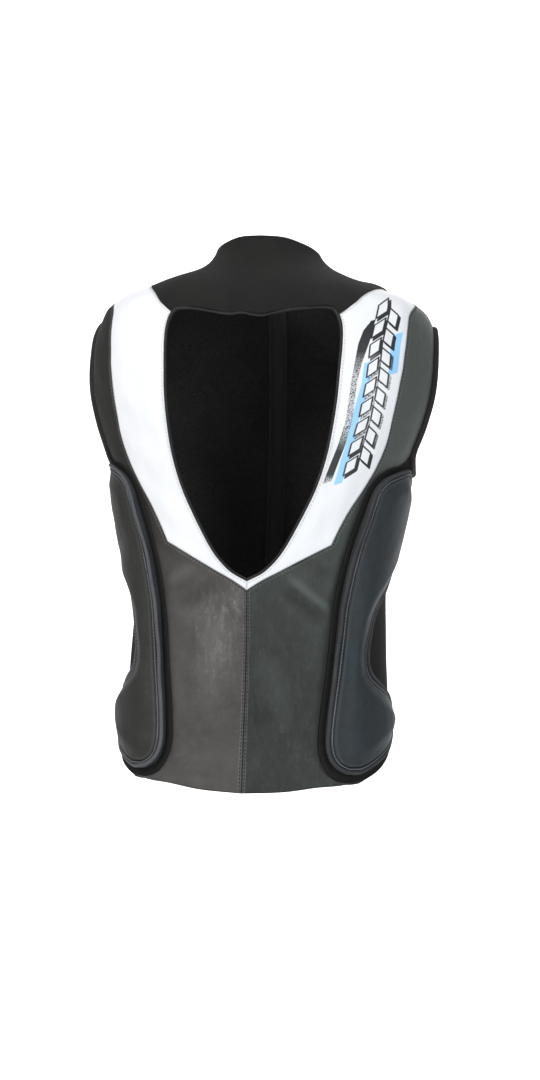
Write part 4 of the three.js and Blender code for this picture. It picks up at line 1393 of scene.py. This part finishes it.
def pad_places(rows, columns):
    """Grid of places under the pad, rows from its foot to its top."""
    knots = []
    for row in reversed(SIDE_PAD):
        height = height_at(row.level)
        near, far = at_angle(row.near, height)[0], at_angle(row.far, height)[0]
        knots.append([near * MEAN_REACH, far * MEAN_REACH, height])
    fine = spline(knots, False, 0, len(knots) - 1)
    along = arc(fine)
    near, far, height = sampled(drawn_to_ends(rows, 0.5) * along[-1], along, fine).T
    share = drawn_to_ends(columns, 0.75)
    bearing = (near[:, None] * (1 - share) + far[:, None] * share) / MEAN_REACH
    return np.stack([bearing, np.broadcast_to(height[:, None], bearing.shape)], axis=-1), share


def rim_of(grid):
    """The border of a grid as one loop, in turn."""
    return np.concatenate([grid[0, :-1], grid[:-1, -1], grid[-1, :0:-1], grid[:0:-1, 0]])


def distance_to(points, loop):
    """Distance of each point to a closed line of points."""
    flat = points.reshape(-1, 3)
    nearest = np.full(len(flat), np.inf)
    for a, b in zip(loop, np.roll(loop, -1, axis=0)):
        run = b - a
        t = np.clip((flat - a) @ run / max(run @ run, 1e-12), 0, 1)
        nearest = np.minimum(nearest, np.linalg.norm(flat - a - t[:, None] * run, axis=1))
    return nearest.reshape(points.shape[:-1])


class PadForm:
    """The pad's seat on the vest, its distance to its rim, and its wall's and crown's heights."""

    def __init__(self, rows, columns):
        self.places, share = pad_places(rows, columns)
        self.seat = on_form(self.places, PAD_SEAT)
        self.out = outward(self.places[..., 0], self.places[..., 1])
        self.inset = distance_to(self.seat, rim_of(self.seat))
        across = [part.across for part in PAD_SECTION]
        wall = np.interp(share, across, [part.wall for part in PAD_SECTION])
        rise = np.interp(share, across, [part.rise for part in PAD_SECTION])
        below_top = height_at(SIDE_PAD[0].level) - self.places[..., 1]
        low = PAD_TOP_WALL + (1 - PAD_TOP_WALL) * ease(below_top / PAD_TOP_RISE)
        self.wall = PAD_WALL * wall * low
        crown = np.broadcast_to(PAD_CROWN * rise, self.inset.shape)
        self.crown = crown * self.inside_border(PAD_CROWN_RISE)

    def inside_border(self, width):
        return ease((self.inset - PAD_BORDER) / width)

    def face(self, heights):
        return self.seat + self.out * heights[..., None]

    def rim_profile(self):
        """Height of the border: the band's seat, a welt beside it and a groove on each side."""
        ridges = ((PAD_WELT_RIDGE, PAD_WELT), (PAD_GROOVE, PAD_FIRST_GROOVE),
                  (PAD_GROOVE, PAD_BORDER), (PAD_BAND_SEAT, 0))
        return sum(ridge.at(self.inset - inset) for ridge, inset in ridges)

    def closed(self, name, heights, materials, left, rings):
        """A closed pad: a face, a foot under it and a wall round it that joins them."""
        face = self.face(heights)
        u, v = lengths(face)
        bm = grid_mesh(face, u, v, {"inset": self.inset})
        foot = grid_mesh(self.seat, u, v, {"inset": self.inset})
        bmesh.ops.reverse_faces(foot, faces=foot.faces)
        low, high, out = (closed_up(rim_of(grid)) for grid in (self.seat, face, self.out))
        side = np.cross(np.gradient(low, axis=0), out)
        side /= np.linalg.norm(side, axis=1, keepdims=True)
        share = np.linspace(0, 1, rings + 1)
        points = low[:, None] * (1 - share)[None, :, None] + high[:, None] * share[None, :, None]
        bulge = PAD_WALL_BULGE * np.sin(share * math.pi)
        points = points + side[:, None] * bulge[None, :, None]
        wall_u, wall_v = lengths(points)
        wall_v = np.broadcast_to(wall_v.mean(axis=1, keepdims=True), wall_u.shape)
        wall = grid_mesh(points, wall_u, wall_v, {"inset": np.zeros_like(wall_u)})
        for wall_face in wall.faces:
            wall_face.material_index = 1
        for part in (foot, wall):
            scratch = bpy.data.meshes.new("pad_part")
            part.to_mesh(scratch)
            part.free()
            bm.from_mesh(scratch)
            bpy.data.meshes.remove(scratch)
        bmesh.ops.remove_doubles(bm, verts=bm.verts, dist=2e-6)
        if left:
            bmesh.ops.scale(bm, vec=(-1, 1, 1), verts=bm.verts)
        bmesh.ops.recalc_face_normals(bm, faces=bm.faces)
        return finished(name, bm, materials)


pad_form = PadForm(*PAD_STEPS)


def as_it_looks(piece):
    """A new mesh of a piece with its modifiers applied."""
    graph = bpy.context.evaluated_depsgraph_get()
    return bpy.data.meshes.new_from_object(piece.evaluated_get(graph))


def swollen_crown(seed):
    """Heights of the pad's face after a soft closed copy of it is blown up as cloth."""
    coarse = PadForm(*CLOTH_STEPS)
    copy = coarse.closed("pad_cloth", coarse.wall + coarse.crown * PAD_SLACK, [], False, 3)
    voxels = copy.modifiers.new("voxels", "REMESH")
    voxels.mode = "VOXEL"
    voxels.voxel_size = PAD_VOXEL
    shell = as_it_looks(copy)
    copy.modifiers.clear()
    copy.data = shell
    rows, columns = CLOTH_STEPS
    corners = np.arange((rows + 1) * (columns + 1)).reshape(rows + 1, columns + 1)
    squares = np.stack(
        [corners[:-1, :-1], corners[:-1, 1:], corners[1:, 1:], corners[1:, :-1]], axis=-1)
    seat = BVHTree.FromPolygons(
        coarse.seat.reshape(-1, 3).tolist(), squares.reshape(-1, 4).tolist())
    held = copy.vertex_groups.new(name="held")
    wrinkle = np.random.default_rng(seed)
    for vertex in shell.vertices:
        lift = seat.find_nearest(vertex.co)[3]
        vertex.co += Vector(wrinkle.normal(0, PAD_WRINKLE, 3))
        hold = max(0.0, min(1.0, 1.25 - lift / PAD_HELD_HEIGHT))
        held.add([vertex.index], hold, "REPLACE")
    cloth = copy.modifiers.new("cloth", "CLOTH")
    for key, value in CLOTH_SETTINGS.items():
        setattr(cloth.settings, key, value)
    cloth.settings.effector_weights.gravity = 0
    cloth.point_cache.frame_start, cloth.point_cache.frame_end = 1, CLOTH_FRAMES
    for number in range(1, CLOTH_FRAMES + 1):
        bpy.context.scene.frame_set(number)
    blown = as_it_looks(copy)
    surface = BVHTree.FromPolygons(
        [vertex.co for vertex in blown.vertices], [tuple(face.vertices) for face in blown.polygons])
    base = pad_form.wall + pad_form.crown * PAD_SLACK
    swell = np.zeros_like(base)
    for place in np.ndindex(base.shape):
        out = Vector(pad_form.out[place])
        hit = surface.ray_cast(Vector(pad_form.seat[place]) + out * PAD_EYE, -out, PAD_EYE)[3]
        if hit is not None:
            swell[place] = PAD_EYE - hit - base[place]
    bpy.context.scene.frame_set(1)
    bpy.data.objects.remove(copy)
    bpy.data.meshes.remove(blown)
    bpy.data.meshes.remove(shell)
    return np.clip(swell, 0, PAD_MOST_SWELL)


def even(grid, times):
    """The grid with each value eased towards its neighbours' a number of times."""
    for _ in range(times):
        padded = np.pad(grid, 1, mode="edge")
        beside = padded[:-2, 1:-1] + padded[2:, 1:-1] + padded[1:-1, :-2] + padded[1:-1, 2:]
        grid = (beside + 4 * grid) / 8
    return grid


def pad_heights(seed):
    crown = pad_form.crown
    swell = even(swollen_crown(seed), 3) * pad_form.inside_border(0.01)
    crown = crown * PAD_SLACK + swell
    crown = crown + ripple(pad_form.places, PAD_WAVES, seed) * pad_form.inside_border(0.015)
    return pad_form.wall + pad_form.rim_profile() + crown


pad_faces = {}


def raised_pad(name, left, seed):
    heights = pad_heights(seed)
    cover = pad_leather_left if left else pad_leather_right
    piece = pad_form.closed(name, heights, [cover, pad_wall_band], left, 5)
    pad_faces[name] = pad_form.face(heights)
    belongs(piece, "pad_cover", name)


def rounded(line, times):
    """A closed line with its corners eased."""
    for _ in range(times):
        line = (np.roll(line, 1, axis=0) + np.roll(line, -1, axis=0) + 2 * line) / 4
    return line


def even_loop(points, step):
    """A closed line of points in equal steps."""
    points = closed_up(points)
    along = arc(points)
    return sampled(np.linspace(0, along[-1], int(along[-1] / step) + 1)[:-1], along, points)


RIM_BAND = Girth(0.0024, 0.0019)
RIM_BAND_SHIFT = 0.0005
RIM_BAND_SINK = 0.0010
RIM_BAND_SWAY = 0.0005
RIM_STEP = 0.0016
RIM_ROUNDINGS = 36


def pad_rim_band(name, left):
    """The ribbed band bound round the rim of the pad's face, slightly uneven along it."""
    loop = rim_of(pad_form.places) * TO_LENGTHS
    loop = np.concatenate([loop, rim_of(pad_form.wall[..., None])], axis=1)
    line = rounded(even_loop(loop, RIM_STEP), RIM_ROUNDINGS)
    places = line[:, :2] / TO_LENGTHS
    turn = np.linspace(0, 2 * math.pi, len(places), endpoint=False)
    sway = RIM_BAND_SWAY * (np.sin(turn * 9 + left) + 0.6 * np.sin(turn * 17 + 2))[:, None]
    centres, outs, sides = frames_along(
        places, line[:, 2] + PAD_SEAT - RIM_BAND_SINK, RIM_BAND_SHIFT)
    centres = centres + sides * sway
    if left:
        centres, outs, sides = (part * np.array([-1, 1, 1]) for part in (centres, outs, sides))
    piece = tube(name, centres, outs, sides, (RIM_BAND.depth, RIM_BAND.width), 14,
                 rim_band_left if left else rim_band_right)
    belongs(piece, "piping", name)


for name, left, seed in (("right", False, 3), ("left", True, 8)):
    raised_pad(f"side_pad_{name}", left, seed)
    pad_rim_band(f"pad_piping_{name}", left)


# Rows of stitches

STITCH_LENGTH = 0.0027
STITCH_RADIUS = 0.0007
STITCH_LIFT = 0.2
PAD_STITCH_INSET = PAD_BORDER + 0.0009
PAD_STITCH_CLEAR = PAD_BORDER * 0.8


def inset_line(points, border, inset):
    """Line on a grid of points at a distance inside its near or its far border."""
    rows = points if border == "near" else points[:, ::-1]
    return np.array([sampled(inset, arc(row), row) for row in rows])


def sew(name, lines, slot, material):
    """Rows of stitches along lines of points, each a short rounded thread."""
    bm = bmesh.new()
    for line in lines:
        along = arc(line)
        goals = np.arange(STITCH_PITCH, along[-1] - STITCH_PITCH / 2, STITCH_PITCH)
        middles = sampled(goals, along, line)
        ahead = sampled(goals + STITCH_PITCH / 4, along, line)
        places = place_of(middles)
        for middle, next_point, out in zip(middles, ahead, outward(places[:, 0], places[:, 1])):
            run, out = Vector(next_point - middle).normalized(), Vector(out)
            cross = out.cross(run).normalized()
            axes = (run * STITCH_LENGTH / 2, cross * STITCH_RADIUS, out * STITCH_RADIUS)
            place = Matrix.Translation(Vector(middle) + out * STITCH_RADIUS * STITCH_LIFT)
            turn = Matrix(axes).transposed().to_4x4()
            bmesh.ops.create_uvsphere(
                bm, u_segments=6, v_segments=4, radius=1, matrix=place @ turn)
    for face in bm.faces:
        face.smooth = True
    belongs(finished(name, bm, [material]), slot)


def pad_stitch_lines(name):
    """Lines in the groove round a pad's face, each where its border is the nearest one."""
    rim = rim_of(pad_form.face(pad_form.wall))
    for border in ("near", "far"):
        line = inset_line(pad_faces[name], border, PAD_STITCH_INSET)
        yield line[distance_to(line, rim) > PAD_STITCH_CLEAR]


for name, inner, outer, mirror in (
    ("right", "near", "far", (1, 1, 1)), ("left", "far", "near", (-1, 1, 1)),
):
    for part, border, slot, thread in (
        ("back", inner, "black_leather", thread_dark),
        ("white", inner, "white_leather", thread_pale),
        ("front", outer, "black_leather", thread_dark),
    ):
        line = inset_line(surfaces[f"{part}_panel_{name}"], border, STITCH_INSET)
        sew(f"{part}_stitches_{name}", [line], slot, thread)
    lines = [line * np.array(mirror) for line in pad_stitch_lines(f"side_pad_{name}")]
    sew(f"pad_stitches_{name}", lines, "pad_cover", thread_dark)


# Front zip

ZIP_TAPE_UNDER = 0.003
ZIP_TAPE_SINK = 0.0001
ZIP_TAPE_WALL = 0.0012
ZIP_TAPE_BEVEL = 0.0003
ZIP_FACE = ZIP_WALL * 0.6
TOOTH_PITCH = 0.0028
TOOTH = Vector((0.0034, 0.0014, 0.0016))
TOOTH_SHIFT = 0.0011
TOOTH_LIFT = 0.0004
TOOTH_BEVEL = 0.0003


def front_zip():
    """The tape, raised along its middle and tucked under the panels at its edges."""
    top = COLLAR_TOP[-1].height * COLLAR_HEIGHT
    heights = np.linspace(height_at(HEM_FRONT_LEVEL), top, STEPS["zip_strip"] + 1)
    rows = []
    for height in heights:
        edge = at_half(ZIP_WIDTH / 2 + ZIP_TAPE_UNDER, height, on_front=True)
        rows.append(straight(edge, (2 * math.pi - edge[0], height), 16))
    places = np.array(rows)
    u, v = lengths(on_form(places, ZIP_WALL))
    to_edge = np.minimum(u, u[:, -1:] - u)
    rise = ease((to_edge - ZIP_TAPE_UNDER * 0.8) / (ZIP_TAPE_UNDER * 0.6))
    lift = -ZIP_TAPE_SINK + (ZIP_FACE + ZIP_TAPE_SINK) * rise
    piece = finished("front_zip", grid_mesh(on_form(places, lift), u, v), [tape_black])
    thicken(piece, ZIP_TAPE_WALL, ZIP_TAPE_BEVEL)
    belongs(piece, "zip", "front_zip")
    zip_teeth(heights[0] + TOOTH_PITCH, top - TOOTH_PITCH)


def zip_teeth(low, high):
    """Two rows of moulded teeth that mesh along the middle of the tape."""
    bm = bmesh.new()
    across = Vector((1, 0, 0))
    for number, height in enumerate(np.arange(low, high, TOOTH_PITCH / 2)):
        place = at_half(TOOTH_SHIFT, height, on_front=True)
        middle = Vector(on_form(place, ZIP_FACE + TOOTH_LIFT))
        middle.x = TOOTH_SHIFT if number % 2 else -TOOTH_SHIFT
        out = Vector(outward(place[0], place[1]))
        out.x = 0
        out.normalize()
        axes = (across * TOOTH.x, across.cross(out) * TOOTH.y, out * TOOTH.z)
        turn = Matrix(axes).transposed().to_4x4()
        bmesh.ops.create_cube(bm, size=1, matrix=Matrix.Translation(middle) @ turn)
    bmesh.ops.recalc_face_normals(bm, faces=bm.faces)
    bmesh.ops.bevel(bm, geom=list(bm.edges), offset=TOOTH_BEVEL, affect="EDGES", segments=1,
                    profile=0.5, material=-1)
    belongs(finished("zip_teeth", bm, [teeth_black]), "zip")


front_zip()


# Floor, light and camera

FLOOR_HEIGHT = -1.15
FLOOR_NEAR = -9
FLOOR_RUN = 14.0
FLOOR_WIDTH = 24
BACKDROP_BEND = 2.5
BACKDROP_RUN = 8
WORLD_STRENGTH = 0.45

Softbox = namedtuple("Softbox", "name place aim size power colour")
SOFTBOXES = [
    Softbox("key_softbox", (-2.1, -3.0, 1.9), (0, 0, -0.28), (1.3, 1.3), 112, (1, 0.985, 0.96)),
    Softbox("fill_softbox", (2.4, -3.0, 0.3), (0, 0, -0.3), (1.6, 2.2), 54, (0.95, 0.98, 1)),
    Softbox("top_softbox", (0, -0.3, 2.6), (0, 0, -0.3), (2.4, 2.4), 22, (1, 1, 1)),
    Softbox("backdrop_wash", (0, 3.6, 3.4), (0, 7.2, 0.2), (6, 1.5), 420, (1, 1, 1)),
]


def studio():
    """A pale floor that curves up into a backdrop behind the vest."""
    bm = bmesh.new()
    bmesh.ops.create_grid(bm, x_segments=4, y_segments=60, size=0.5)
    far, bend = FLOOR_NEAR + FLOOR_RUN, BACKDROP_BEND
    for vertex in bm.verts:
        reach = (vertex.co.y + 0.5) * (FLOOR_RUN + BACKDROP_RUN)
        past = reach - FLOOR_RUN
        if past < 0:
            y, z = FLOOR_NEAR + reach, 0
        elif past < bend * math.pi / 2:
            y, z = far + bend * math.sin(past / bend), bend * (1 - math.cos(past / bend))
        else:
            y, z = far + bend, bend + past - bend * math.pi / 2
        vertex.co = Vector((vertex.co.x * FLOOR_WIDTH, y, FLOOR_HEIGHT + z))
    for face in bm.faces:
        face.smooth = True
    bmesh.ops.recalc_face_normals(bm, faces=bm.faces)
    floor = finished("studio_floor", bm, [matt("pale_paper", 0.9)])


def softbox(box):
    light = bpy.data.lights.new(box.name, "AREA")
    light.shape = "RECTANGLE"
    light.size, light.size_y = box.size
    light.energy = box.power
    light.color = box.colour
    lamp = bpy.data.objects.new(box.name, light)
    bpy.context.scene.collection.objects.link(lamp)
    lamp.location = box.place
    towards = Vector(box.aim) - Vector(box.place)
    lamp.rotation_euler = towards.to_track_quat("-Z", "Y").to_euler()


def pale_air():
    world = bpy.data.worlds.new("studio_air")
    bpy.context.scene.world = world
    world.use_nodes = True
    background = world.node_tree.nodes["Background"]
    background.inputs["Color"].default_value = (1, 1, 1, 1)
    background.inputs["Strength"].default_value = WORLD_STRENGTH


def camera():
    forward, right, top, aim = viewpoint()
    lens = bpy.data.cameras.new("camera")
    lens.lens = lens.sensor_width * CAMERA_REACH / (PHOTO_HEIGHT * METRES_PER_PIXEL)
    eye = bpy.data.objects.new("camera", lens)
    bpy.context.scene.collection.objects.link(eye)
    turn = Matrix((right, top, -forward)).transposed().to_4x4()
    eye.matrix_world = Matrix.Translation(aim - forward * CAMERA_REACH) @ turn
    bpy.context.scene.camera = eye


studio()
for box in SOFTBOXES:
    softbox(box)
pale_air()
camera()
bpy.context.scene.view_settings.view_transform = "Standard"
